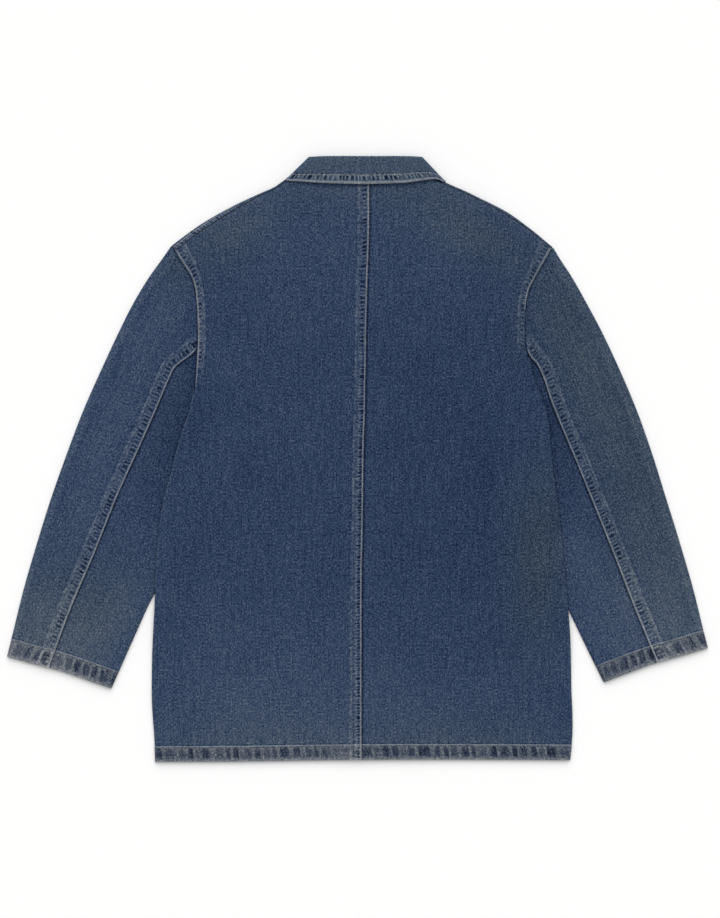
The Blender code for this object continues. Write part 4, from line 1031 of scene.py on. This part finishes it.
def makeBack(name, key):
    side = sides[key]
    onLeft = key == "left"
    seed = 20 if onLeft else 40
    flat, columns, fromEdge, fell, rowUp = backGrid(side)
    placed, angle = overShoulder(side, flat, backHeight, frontHeight)
    placed, angle = overSide(side, placed, angle)
    raisedHem(side, placed)
    height = flat[..., 1]
    lift, wear, centreBand = centreSeam(onLeft, columns, height, seed)
    armLift, armWear, armBand = armholeSeam(key, flat, fromEdge, fell, rowUp, seed + 7)
    lift = lift + armLift
    wear = wear + armWear
    band = [np.where(fromEdge < columns, *values) for values in zip(armBand, centreBand)]
    hemHeight = height - places["hemUp"]
    lift = lift + cloth["hemRise"] * (1 - riseStep(back["hemStitch"] - 1, back["hemStitch"] + 1, hemHeight))
    # painted highlight along the roll of the body's side fold, and lighter cloth below the shoulder's fold
    rim = 0.16 + (0.14 if onLeft else -0.14) * riseStep(-90, 0, height)
    wear = wear + rim * np.sin(np.clip(angle, 0, np.pi)) * (height < startOfFold(side))
    toShoulder = np.clip(np.interp(flat[..., 0], *np.array(side["shoulder"]).T) - height, 0, 99)
    wear = wear + 0.10 * np.exp(-toShoulder / 10)
    lift = lift * np.maximum(0, np.cos(angle))
    cut = np.stack([columns, height], -1)
    thing, outer = clothMesh(name, side, placed, cloth["wall"], lift, True, cut, wear,
                             (hemHeight, side["sign"] * columns), band, back, bodyDenim)
    ridges, rows = [], []
    if onLeft:
        foot = nearest(placed[:, 0, 1], places["hemUp"] + 0.6)
        for distance, kept in zip(back["stitchRows"], (ridges, rows)):
            kept.append(stitchGuide(outer[2:foot, nearest(columns[10], distance)]))
    armRows = np.nonzero((rowUp > startOfFold(side) + 3) & (rowUp < rowUp[0] - 1))[0]
    ridges.append(stitchGuide(outer[armRows if onLeft else armRows[rowUp[armRows] > 190], -3]))
    rows.append(stitchGuide(outer[armRows, -10]))
    hemLine = outer[nearest(flat[:, 0, 1], places["hemUp"] + back["hemStitch"]), 1:]
    hem = stitchGuide(hemLine[hemLine[:, 2] > 0.9])      # not where it lies on the floor
    runs = [stitchRuns(name + "Ridges", ridges, paleThread), stitchRuns(name + "Hem", [hem], hemThread),
            stitchRuns(name + "Rows", rows, blueThread, "fine")]
    return thing, runs, cut


# the fronts, against the floor

front = {
    "rowPitch": 3.4, "stitchRows": (3.0, 38.0), "facing": 48, "guideLift": 0.38,
    "neckline": [(38, 279.6), (68, 301.4), (86, 329.0), (96, 346.0)],      # from the collar's middle: out, up
    "fadeAndShade": [(0, -400, 300, 120, 0, 0.1)], "yellow": [],
}


def frontColumns(width):
    inner = np.unique(np.concatenate([np.linspace(0, front["facing"], 21), front["stitchRows"]]))
    rest = inner[-1] + (width[:, None] - inner[-1]) * np.linspace(0, 1, 32)[1:]
    return np.concatenate([np.tile(inner, (len(width), 1)), rest], 1)


def frontGrid(side):
    armpit, neckUp = underarmUp(side), places["neckFrontUp"]
    edgeOut = side["sign"] * places["frontMiddle"] - places["frontOverlap"]
    middle = side["sign"] * places["collarMiddle"]
    shoulder = shoulderSeam(side, True)
    tip = shoulder[-1]
    drop = tip[1] - armpit
    frontTip = np.array(side["frontArmhole"][0], float)

    def right(share):
        up = tip[1] + (armpit - tip[1]) * np.asarray(share, float)
        past = np.clip((up - frontTip[1]) / max(tip[1] - frontTip[1], 1e-6), 0, 1)
        line = outAt(side["frontArmhole"], np.minimum(up, frontTip[1]))
        return np.stack([line - 0.1 + past * (tip[0] - frontTip[0]), up], -1)

    def left(share):
        up = neckUp + 0.6 + (armpit - neckUp - 0.6) * np.asarray(share, float)
        return np.stack([np.full_like(up, edgeOut), up], -1)

    top = topEdge([(edgeOut, neckUp + 0.6), (middle, neckUp)]
                  + [(middle + out, up) for out, up in front["neckline"]], shoulder)
    down = np.concatenate([np.arange(0, 14, 0.8), np.arange(14, drop, front["rowPitch"])])
    share = down / drop
    width = right(share)[:, 0] - edgeOut
    columns = frontColumns(width)
    topFlat = filledPatch(left, right, top, straightAcross(left, right), columns / width[:, None],
                          np.tile(share[:, None], columns.shape[1]))
    stitchUp = places["hemUp"] + back["hemStitch"]
    lowUp = np.concatenate([np.arange(armpit, stitchUp + 2, -front["rowPitch"]), [stitchUp + 1, stitchUp],
                            np.arange(stitchUp - 3, places["hemUp"] + 2, -3), [places["hemUp"]]])
    lowColumns = frontColumns(outAt(side["sideSeam"], lowUp) - cloth["gap"] - edgeOut)
    flat = np.concatenate([topFlat, straightRows(edgeOut, lowColumns, lowUp)])
    return flat, np.concatenate([columns, lowColumns])


def makeFront(name, key):
    side = sides[key]
    flat, columns = frontGrid(side)
    placed, angle = overShoulder(side, flat, frontHeight, backHeight)
    raisedHem(side, placed)
    # the strip that wraps over the left shoulder, felled on to the back
    over = riseStep(0.75 * np.pi, np.pi, angle) * riseStep(112, 140, placed[..., 0])
    wear = 0.22 * over + 0.14 * np.sin(angle) + 0.2 * bump(columns, 0, 2)
    wear = wear + 0.12 * bump(columns, front["stitchRows"][1], 1.5)
    height = flat[..., 1]
    cut = np.stack([columns, height], -1)
    thing, outer = clothMesh(name, side, placed, cloth["wall"], over * cloth["fellRise"], False, cut, wear,
                             (height - places["hemUp"], columns + 700),
                             (np.full(columns.shape, 5.2), 1.2 * flat[..., 0], 0.9 * over), front, bodyDenim)
    guides = []
    for distance in front["stitchRows"]:
        column = nearest(columns[40], distance)
        rows = np.nonzero(placed[:, column, 1] < places["neckFrontUp"] - 4)[0]
        guides.append(stitchGuide(outer[rows, column], front["guideLift"]))
    hemRow = nearest(flat[:, 0, 1], places["hemUp"] + back["hemStitch"])
    guides.append(stitchGuide(outer[hemRow, 1:], front["guideLift"]))
    if key == "left":             # its shoulder seam shows on the back
        row = 4
        guides.append(stitchGuide(outer[row, placed[row, :, 0] > 120]))
    runs = [stitchRuns(name + "Rows", guides, paleThread)]
    return thing, runs, cut


# sleeves

sleeve = {
    "length": 540.0, "rowPitch": 1.5, "rollSteps": 8,
    "cuffStitch": 23.0, "headPitch": 5.0, "puckerPitch": 4.9, "seamWidth": 15.0,
    # columns of the top piece by its seam, and the least share of the head between the others
    "seamColumns": [0, 0.6, 1.2, 1.9, 2.5, 3.1, 4.2, 5.6, 7.0, 8.4, 9.8, 11.2, 12.6, 13.8, 15.0,
                    16.2, 17.6, 20.0],
    "topLeast": (0.034, 0.05), "underLeast": (0.008, 0.1),
    "underShade": {"left": (6.0, 0.2), "right": (11.0, 0.15)},     # beside the body's fold: reach, depth
    "fadeAndShade": [
        # the third: painted shade on the left sleeve beside the body
        (-318, 30, 210, 26, 65, 0.07), (-262, 170, 60, 20, 55, 0.04), (-240, 50, 90, 24, 72, -0.09),
        (-262, -60, 90, 22, 68, -0.03), (-410, -230, 80, 46, 65, 0.18), (-330, -230, 90, 44, 65, 0.15),
        (-330, 90, 120, 10, 62, -0.02), (-212, 170, 70, 14, 84, -0.03), (-382, -273, 90, 16, -16, 0.08),
        (382, -262, 90, 16, 17, 0.08),
        # the first: painted shadow along the inner side of the right sleeve's seam
        (254, 40, 110, 14, -68, -0.10), (262, -40, 80, 20, -66, -0.03), (300, 120, 90, 24, -62, 0.05),
        (330, 10, 150, 24, -66, 0.05), (400, -210, 100, 50, -66, 0.16), (320, -200, 90, 36, -66, 0.09),
        (226, 170, 60, 12, -80, -0.03),
    ],
    "yellow": [
        (-400, -220, 90, 60, 65, 0.6), (-240, 60, 80, 20, 72, 0.25), (-225, 250, 40, 30, 60, 0.5),
        (-330, -200, 60, 40, 65, 0.4), (300, 120, 240, 60, -64, 0.75), (390, -150, 160, 60, -66, 0.5),
    ],
}


def sleeveShares():               # the rows, closer at the head, the turned hem and its stitches
    length, depth = sleeve["length"], cloth["cuffDepth"]
    hem = length - np.array([depth + 1.2, depth, depth - 1.0, sleeve["cuffStitch"]])
    body = np.arange(4.4, hem[0] - 0.8, sleeve["rowPitch"])
    low = np.arange(hem[-1] + 1.2, length - 1.2, 1.3)
    return np.concatenate([[0, 0.8, 1.8, 3.0], body, hem, low, [length - 0.6, length]]) / length


def sleeveLayer(side, inner, outer, head, cuff, columns, upper, band=None):
    start = startOfFold(side)

    def headFlat(share):
        return head(share)[..., :2]
    u, v = np.meshgrid(columns, sleeveShares())
    if band is not None:          # the first columns keep their distance from the seam
        probe = 0.03
        near = filledPatch(inner, outer, headFlat, cuff, probe + 0 * v[:, :1], v[:, :1])
        rate = besideCurve(inner, near)[0] / probe
        kept = np.minimum(band / rate, 0.4 * band / band[-1])
        u = np.concatenate([kept, kept[:, -1:] + (1 - kept[:, -1:]) * u], 1)
        v = np.tile(v[:, :1], u.shape[1])
    top = head(u)
    lengths = np.linalg.norm(top[..., :2] - cuff(u), axis=-1)
    height = (1 - v) * sleeve["length"]
    v = 1 - (1 - v) * (1 + (sleeve["length"] / lengths - 1) * (1 - riseStep(40, 330, height)))
    flat = filledPatch(inner, outer, headFlat, cuff, u, v)
    level = np.full(u.shape, levels["floor"])
    if upper:
        level = sleeveHeight(side, flat[..., 0], flat[..., 1])
        lift = top[..., 2] - sleeveHeight(side, top[..., 0], top[..., 1])
        reach = 7 + 19 * riseStep(start, start + 45, top[..., 1])
        away = np.linalg.norm(flat - top[..., :2], axis=-1)
        level = level + lift * (1 - riseStep(0, 1, away / reach))
    return np.concatenate([flat, level[..., None]], -1)


def roundedEdge(upperEdge, lowerEdge, away):
    across = away * leftOf(upperEdge)
    radius = (upperEdge[:, 2] - lowerEdge[:, 2]) / 2
    rows = []
    for k in range(1, sleeve["rollSteps"]):
        angle = math.pi * k / sleeve["rollSteps"]
        place = upperEdge[:, :2] + across * (radius * math.sin(angle))[:, None]
        rows.append(np.concatenate([place, (lowerEdge[:, 2] + radius * (1 + math.cos(angle)))[:, None]], -1))
    return np.stack(rows, 1)


def partOf(curve, start, stop):
    return lambda share: curve(start + (stop - start) * np.asarray(share, float))


def nearestShare(curve, point):
    shares = np.linspace(0, 1, 400)
    return shares[np.linalg.norm(curve(shares) - np.array(point), axis=1).argmin()]


def frontArmholeEdge(side, up):   # the sleeve's side of the front armhole
    line = np.stack([outAt(side["frontArmhole"], up), up], -1)
    slope = outAt(side["frontArmhole"], up + 0.5) - outAt(side["frontArmhole"], up - 0.5)
    away = np.stack([np.ones_like(up), -slope], -1) / np.sqrt(1 + slope ** 2)[:, None]
    return line + cloth["gap"] * away


def longSeam(table, start, stop, startLow):      # a seam's two sides, a gap apart
    line = np.array([tuple(start)] + table[1:-1] + [tuple(stop)])
    lower = line - 1.3 * cloth["gap"] * leftOf(line)
    lower[0] = startLow
    return curvePath(line), curvePath(lower)


def sleeveLines(side):
    gap = cloth["gap"]
    start, low = startOfFold(side), underarmUp(side)
    seamUp, frontUp, tipUp = [side[key][0][1] for key in ("sleeveSeam", "sleeveFrontSeam", "armhole")]
    cuff = curvePath(side["cuff"])
    seamAtCuff = nearestShare(cuff, side["sleeveSeam"][-1])
    frontAtCuff = nearestShare(cuff, side["sleeveFrontSeam"][-1])
    head = armholeSleeveSide(side, np.append(np.arange(seamUp, tipUp - 2, sleeve["headPitch"]), tipUp))
    # the under piece starts where the angle between seam and armhole leaves room for the gap
    seamRun = np.subtract(side["sleeveSeam"][1], side["sleeveSeam"][0])
    edgeRun = np.array([outAt(side["armhole"], seamUp - 5) - outAt(side["armhole"], seamUp), -5])
    spread = abs(np.cross(seamRun, edgeRun)) / np.linalg.norm(seamRun) / np.linalg.norm(edgeRun)
    lowUp = np.concatenate([np.arange(seamUp - 1.5 * gap / spread, start + 3, -3.0),
                            np.arange(start + 1.5, start - 24, -1.5),
                            np.arange(start - 26, low + 2, -4.0), [low]])
    underHead = armholeSleeveSide(side, lowUp)
    frontHead = frontArmholeEdge(side, np.append(np.arange(tipUp, frontUp + 4, -9.0), frontUp))
    frontLow = frontArmholeEdge(side, np.append(np.arange(low, frontUp - gap - 3, 6.0), frontUp - gap))
    head[-1, :2] = frontHead[0]
    underHead[-1, :2] = side["sleeveInner"][0]
    frontLow[0] = side["sleeveInner"][0]
    backSeam, backSeamLow = longSeam(side["sleeveSeam"], head[0, :2], cuff(seamAtCuff), underHead[0, :2])
    frontSeam, frontSeamLow = longSeam(side["sleeveFrontSeam"], frontHead[-1], cuff(frontAtCuff),
                                       frontLow[-1])
    slit = gap / sleeve["length"]
    return {
        "head": straightPath(head), "underHead": straightPath(underHead),
        "front": straightPath(frontHead), "frontLow": straightPath(frontLow),
        "seam": backSeam, "seamLow": backSeamLow, "frontSeam": frontSeam, "frontSeamLow": frontSeamLow,
        "outer": curvePath([tuple(frontHead[0])] + side["sleeveOuter"][1:]),
        "inner": curvePath(side["sleeveInner"]),
        "topCuff": partOf(cuff, seamAtCuff, 0), "topCuffLow": partOf(cuff, 0, frontAtCuff),
        "underCuff": partOf(cuff, seamAtCuff + slit, 1),
        "underCuffLow": partOf(cuff, 1, frontAtCuff + slit),
    }


def thinned(shares, least):       # shares at least this far apart, both ends kept
    kept = [shares[0]]
    for share in shares[1:-1]:
        if share - kept[-1] >= least and shares[-1] - share >= least:
            kept.append(share)
    return np.array(kept + [shares[-1]])


def runAcross(grid):
    step = np.linalg.norm(np.diff(grid, axis=1), axis=-1)
    return np.concatenate([np.zeros((len(grid), 1)), np.cumsum(step, 1)], 1)


def sleeveCut(side, middle, across, shown, away):      # the flat piece: across from the seam, down the sleeve
    start, stop = np.array(side["sleeveSeam"], float)[[3, -1]]
    way = (stop - start) / np.linalg.norm(stop - start)
    local = middle[..., :2] - start
    wide = local @ (away * np.array([-way[1], way[0]]))
    wide[:, shown:] = wide[:, shown - 1:shown] + across[:, shown:] - across[:, shown - 1:shown]
    return np.stack([wide, -local @ way], -1)


def sleeveGrid(upper, lower, away):
    # both layers and the rounded edge as one grid, with the run across it, the share down the sleeve,
    # and 1 on the upper layer
    middle = np.concatenate([upper, roundedEdge(upper[:, -1], lower[:, 0], away), lower], 1)
    isUpper = np.zeros(middle.shape[:2])
    isUpper[:, :upper.shape[1]] = 1
    return middle, runAcross(middle), np.tile(sleeveShares()[:, None], middle.shape[1]), isUpper


def sleevePiece(name, side, grid, lift, wear, band, away, hemStart):
    middle, across, v, isUpper = grid
    shown = int(isUpper[0].sum())
    depth = cloth["cuffDepth"]
    inCuff = 1 - riseStep(depth - 1, depth + 1, sleeve["length"] - v * sleeve["length"])
    lift = lift + cloth["hemRise"] * inCuff * isUpper
    # the finish reads the height above the edge as it does on the body's hem
    height = (1 - v) * sleeve["length"] * back["hemStitch"] / sleeve["cuffStitch"]
    cut = sleeveCut(side, middle, across, shown, away)
    thing, outer = clothMesh(name, side, middle, cloth["wall"], lift, True, cut, wear,
                             (height, across + hemStart), band, sleeve, sleeveDenim)
    stitchRow = nearest(v[:, 0], 1 - sleeve["cuffStitch"] / sleeve["length"])
    return thing, outer, cut, [stitchGuide(outer[stitchRow, 1:shown - 1])]


def makeSleeveTop(name, key):
    side, lines = sides[key], sleeveLines(sides[key])
    seed = 80 if key == "left" else 110
    leastAbove, leastBelow = sleeve["topLeast"]
    head, shares = lines["head"]
    folds = np.array(sleeve["seamColumns"])
    upper = sleeveLayer(side, lines["seam"], lines["outer"], head, lines["topCuff"],
                        thinned(shares, leastAbove)[1:], True, folds)
    headFront, shares = lines["front"]
    lower = sleeveLayer(side, lines["outer"], lines["frontSeam"], headFront, lines["topCuffLow"],
                        thinned(shares, leastBelow), False)
    grid = sleeveGrid(upper, lower, 1)
    middle, across, v, isUpper = grid
    along = v * sleeve["length"]
    near = len(folds)
    away, seamRun = across + 20, along.copy()
    away[:, :near], seamRun[:, :near] = besideCurve(lines["seam"], middle[:, :near])
    start = riseStep(0, 4, along)
    bright = 0.9 + 0.3 * riseStep(240, 460, along)
    lift, wear, spot = seamRelief(away, seamRun, sleeve["seamWidth"], sleeve["puckerPitch"], seed, bright)
    lift, wear = lift * start * isUpper, wear * start * isUpper
    # the head is eased into the armhole
    ease = np.exp(-along / 6.0) * isUpper
    pucker = ripple(np.tile(across[:1], (len(across), 1)), 5.2, seed + 4)
    lift = lift + ease * 0.14 * pucker
    # a painted shadow line at the head, just past the armhole seam's ridge
    wear = wear + ease * (0.06 * pucker - 0.02) - 0.34 * bump(along, 0.0, 1.5) * isUpper
    wear[:, upper.shape[1] - 3:upper.shape[1] + 7] += 0.10      # along the fold
    band = (spot, seamRun + 3000 + seed, 0.9 * start * isUpper)
    thing, outer, cut, hem = sleevePiece(name, side, grid, lift, wear, band, 1, 1000 + seed)
    runs = [stitchRuns(name + "Ridges", [stitchGuide(outer[6:-2, 2])], paleThread),
            stitchRuns(name + "Hem", hem, hemThread),
            stitchRuns(name + "Rows", [stitchGuide(outer[10:-2, 10])], blueThread, "fine")]
    return thing, runs, cut


def makeSleeveUnder(name, key):
    side, lines = sides[key], sleeveLines(sides[key])
    seed = 140 if key == "left" else 170
    leastAbove, leastBelow = sleeve["underLeast"]
    head, shares = lines["underHead"]
    columns = np.unique(np.append(np.array([0, 1.0, 2.4, 5.0]) / 90, thinned(shares, leastAbove)))
    upper = sleeveLayer(side, lines["seamLow"], lines["inner"], head, lines["underCuff"], columns, True)
    headLow, shares = lines["frontLow"]
    lower = sleeveLayer(side, lines["inner"], lines["frontSeamLow"], headLow, lines["underCuffLow"],
                        thinned(shares, leastBelow), False)
    grid = sleeveGrid(upper, lower, -1)
    middle, across, v, isUpper = grid
    along = v * sleeve["length"]
    near = 8
    away = across + 6
    away[:, :near] = besideCurve(lines["seamLow"], middle[:, :near])[0]
    hollow = ladder(along, sleeve["puckerPitch"], seed)
    beside = np.exp(-away / 4.0) * isUpper * riseStep(4, 16, along)
    lift = beside * 0.12 * (1 - 2 * hollow)
    # a painted shadow line just past the top piece's seam ridge
    wear = beside * (0.02 - 0.10 * hollow) - 0.34 * bump(away, 0.0, 1.7) * isUpper
    fold = outAt(side["sideFold"], np.minimum(middle[..., 1], startOfFold(side)))
    reach, depth = sleeve["underShade"][key]
    shaded = np.exp(-np.clip(middle[..., 0] - fold, 0, 99) / reach) * riseStep(-130, 0, middle[..., 1])
    wear = wear - depth * shaded * isUpper
    noBand = (0 * across + farOff, along, 0 * across)
    thing, outer, cut, hem = sleevePiece(name, side, grid, lift, wear, noBand, -1, 2000 + seed)
    runs = [stitchRuns(name + "Hem", hem, hemThread)]
    return thing, runs, cut


# collar

collar = {
    # neck, up, roll, up, edge, up, and the way the collar faces: 90 up, 0 outward, -90 down
    "sections": [
        (0.0, 356.9, 0.0, 385.2, 0.0, 352.6, 90),
        (45.0, 357.9, 38.0, 385.3, 52.0, 353.0, 90),
        (80.0, 360.0, 61.0, 384.9, 90.5, 350.8, 90),
        (93.5, 356.0, 66.5, 383.4, 101.0, 349.4, 60),
        (93.5, 356.0, 66.5, 381.8, 101.0, 349.4, 0),
        (94.5, 354.0, 66.5, 381.0, 101.0, 349.0, -60),
        (93.0, 346.0, 66.0, 373.0, 100.5, 340.0, -90),
        (83.6, 330.3, 62.0, 343.0, 100.0, 308.0, -90),
        (66.2, 304.4, 49.0, 313.0, 90.0, 272.0, -90),
        (36.6, 283.4, 28.0, 290.0, 78.0, 249.0, -90),
        (2.0, 274.0, 2.0, 278.0, 64.0, 236.0, -90),
    ],
    "standCentre": 5.1, "standRadius": 1.8, "leafOffStand": 2.3,
    "rows": 16, "turn": 2.8, "stitchRows": (1.6, 11.2), "fadeAndShade": [], "yellow": [(0, 360, 200, 60, 0, 0.5)],
    # how the grid is spaced: up the stand, round the turn, down the leaf and by its edge
    "standShares": (0, 0.25, 0.5, 0.75), "turnSteps": 9, "leafShares": (0.82, 0.64, 0.46, 0.3, 0.16, 0.06),
    "edgeRows": [11.2, 10.2, 8.8, 7.2, 5.6, 4.0, 2.8, 1.9, 1.1, 0.5, 0.0],
}


def collarHalf(side):
    table = np.array(collar["sections"], float)
    table[1:6, 2] *= (side["collarTop"] - collar["turn"]) / table[3, 2]
    table[:6, 4:6] = side["collarEdge"]
    count = (len(table) - 1) * collar["rows"] + 1
    at = np.linspace(0, len(table) - 1, count)
    read = [readCurve(at, np.arange(len(table)), table[:, k]) for k in range(7)]
    neck, roll, edge = [np.stack(read[k:k + 2], -1) for k in (0, 2, 4)]
    faces = np.radians(np.clip(read[6], -90, 90))
    outward = np.stack([0.68 * np.cos(faces), 0.73 * np.cos(faces), np.sin(faces)], -1)
    off = collar["leafOffStand"]
    grid, fromEdge = [], []
    for k in range(count):
        base = outward[k] * collar["standRadius"] + np.array([0, 0, collar["standCentre"]])
        start = np.append(neck[k], 0) + base
        turn = np.append(roll[k], 0) + base
        stop = np.append(edge[k], 0) + base + outward[k] * off
        along = (turn - start) / np.linalg.norm(turn - start)
        behind = turn + outward[k] * off
        row = [start + (turn - start) * share for share in collar["standShares"]]
        for angle in np.linspace(0, math.pi, collar["turnSteps"]):
            row.append(turn + along * math.sin(angle) * off / 2
                       + outward[k] * (1 - math.cos(angle)) * off / 2)
        length = np.linalg.norm(stop - behind)
        first = collar["edgeRows"][0]
        distances = [first + (length - first) * share for share in collar["leafShares"]] + collar["edgeRows"]
        fromEdge.append([99.0] * len(row) + distances)
        grid.append(row + [stop + (behind - stop) * distance / length for distance in distances])
    return np.array(grid), np.array(fromEdge)


def makeCollar(name):
    halves, distances = {}, {}
    for key, side in sides.items():
        halves[key], distances[key] = collarHalf(side)
        halves[key][..., 0] = places["collarMiddle"] + side["sign"] * halves[key][..., 0]
    middle, fromEdge = [np.concatenate([half["left"][::-1], half["right"][1:]])[:, ::-1]
                        for half in (halves, distances)]
    run = runAlong(middle[:, 0])[:, None]
    hollow = ladder(run + 0.1 * fromEdge, 5.6, 201)
    fuzz = valueNoise2(run / 3.0, fromEdge / 2.4, 203)
    facesUp = riseStep(1.2, 4.0, middle[..., 2])
    lift = 0.45 * within(fromEdge, -1, 4.0, 0.5) + within(fromEdge, 4.8, 10.0, 0.6) * (0.05 - 0.2 * hollow)
    lift = (lift - 0.2 * bump(fromEdge, 12.6, 0.8)) * facesUp         # flat where it lies on the floor
    wear = 0.5 * within(fromEdge, -1, 3.7, 0.5) * (0.94 + 0.06 * np.sin(2 * np.pi * run / 2.9))
    wear = wear - 0.14 * bump(fromEdge, 4.9, 0.6)
    wear = wear + 0.16 * bump(fromEdge, 11.0, 0.9) * (0.5 + 0.5 * fuzz) - 0.10 * bump(fromEdge, 12.9, 0.9)
    wear[:, 17:26] += 0.05 * (0.75 + 0.25 * ripple(run, 17, 203))     # along the roll
    spot = np.where(fromEdge > 3.0, fromEdge - 2.0, 1.0)
    runs = np.tile(run, (1, spot.shape[1]))
    band = (np.minimum(spot, 13.0), 0.88 * runs + 5000, np.full(spot.shape, 1.3))
    cut = np.stack([runs, runAcross(middle)], -1)
    thing, outer = clothMesh(name, None, middle, cloth["collarWall"], lift, True, cut, wear,
                             (np.full(runs.shape, farOff), 0 * runs), band, collar, collarDenim, 0.0)
    guides = []
    for distance in collar["stitchRows"]:
        column = nearest(fromEdge[0], distance)
        normal = outer[:, column] - middle[:, column]
        normal /= np.linalg.norm(normal, axis=1)[:, None]
        sunk = thread["guideLift"] - 0.5 * (1 - facesUp[:, column])
        guides.append(stitchGuide((outer[:, column] + sunk[:, None] * normal)[4:-4], 0))
    runs = [stitchRuns(name + "Ridges", guides[:1], paleThread),
            stitchRuns(name + "Rows", guides[1:], hemThread, "collar")]
    return thing, runs, cut


# buttons

def buttonFinish():
    made = Finish("hornButton", {"Roughness": 0.38, "Specular IOR Level": 0.5})
    swirl = made.noise(made.place(), 260, 3.0, 0.6, (1, 0.35, 1))
    made.feed(made.shader.inputs["Base Color"],
              made.mixed(made.limited(swirl * 1.8 - 0.4), linear(34, 27, 22), linear(86, 68, 52)))
    return made.material


def makeButton(name, up, material):
    turn = np.arange(buttons["steps"] + 1) * 2 * np.pi / buttons["steps"]
    rings = np.array([[(places["frontMiddle"] + out * math.cos(t), up + out * math.sin(t), level)
                       for t in turn] for out, level in buttons["outline"]])
    thing = addMesh(name, rings.reshape(-1, 3), gridFaces(*rings.shape[:2])[:, ::-1], material)
    work = bmesh.new()
    work.from_mesh(thing.data)
    bmesh.ops.remove_doubles(work, verts=work.verts, dist=1e-6)
    bmesh.ops.recalc_face_normals(work, faces=work.faces)
    work.to_mesh(thing.data)
    work.free()
    thing.data.shade_smooth()
    return thing


# everything in its place

made = {}
for key in sides:
    cap = key.capitalize()
    made["back_" + key] = makeBack("back" + cap, key)
    made["front_" + key] = makeFront("front" + cap, key)
    made["sleeve_" + key + "_top"] = makeSleeveTop("sleeveTop" + cap, key)
    made["sleeve_" + key + "_under"] = makeSleeveUnder("sleeveUnder" + cap, key)
    print(key, "side made")
made["collar"] = makeCollar("collarPiece")
for node, (thing, runs, cut) in made.items():
    triangles = sum(len(p.vertices) - 2 for p in thing.data.polygons)
    print(node, "triangles", triangles, "flat area", round(thing["flatArea"], 4))
    asCloth(thing, node, runs)
hornMaterial = buttonFinish()
for k in range(buttons["count"]):
    disc = makeButton("buttonDisc" + str(k + 1), buttons["topUp"] - k * buttons["pitch"], hornMaterial)
    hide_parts("button_" + str(k + 1))
    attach(disc, "root")
print("pieces dressed")


# floor, light and camera

room = {
    "pixel": 1.28, "photoTall": 918, "photoMiddle": 360, "zeroColumn": 357.5,     # X = 0 in the photo
    "cameraHeight": 6.0, "sensor": 36,
    "floorColour": (0.935, 0.935, 0.93, 1.0), "floorReach": 8.0, "floorDrop": 0.0002,
    "sky": 0.5, "sun": 2.3, "sunTilt": 39, "sunWidth": 74,
}


def makeRoom():
    reach = room["floorReach"]
    mesh = bpy.data.meshes.new("paleFloor")
    corners = [(x * reach, y * reach, 0) for x, y in ((-1, -1), (1, -1), (1, 1), (-1, 1))]
    mesh.from_pydata(corners, [], [(0, 1, 2, 3)])
    floor = addToScene("paleFloor", mesh)
    floor.location.z = -room["floorDrop"]
    finish = Finish("paleFloor", {"Base Color": room["floorColour"], "Roughness": 0.9,
                                  "Specular IOR Level": 0.1})
    mesh.materials.append(finish.material)
    world = bpy.data.worlds.new("studio")
    world.use_nodes = True
    background = world.node_tree.nodes["Background"]
    background.inputs["Color"].default_value = (1, 1, 1, 1)
    background.inputs["Strength"].default_value = room["sky"]
    bpy.context.scene.world = world
    light = bpy.data.lights.new("windowLight", "SUN")
    light.energy, light.angle = room["sun"], math.radians(room["sunWidth"])
    lamp = addToScene("windowLight", light)
    lamp.rotation_euler = (math.radians(-room["sunTilt"]), 0, 0)
    lens = bpy.data.cameras.new("photoCamera")
    lens.sensor_fit = "AUTO"
    lens.sensor_width = room["sensor"]
    lens.lens = room["sensor"] * room["cameraHeight"] / (room["photoTall"] * room["pixel"] * mm)
    lens.clip_end = 100
    eye = addToScene("photoCamera", lens)
    aside = (room["photoMiddle"] - room["zeroColumn"]) * room["pixel"] * mm
    eye.location = (aside, 0, room["cameraHeight"])
    bpy.context.scene.camera = eye


makeRoom()
bpy.context.scene.view_settings.view_transform = "Standard"
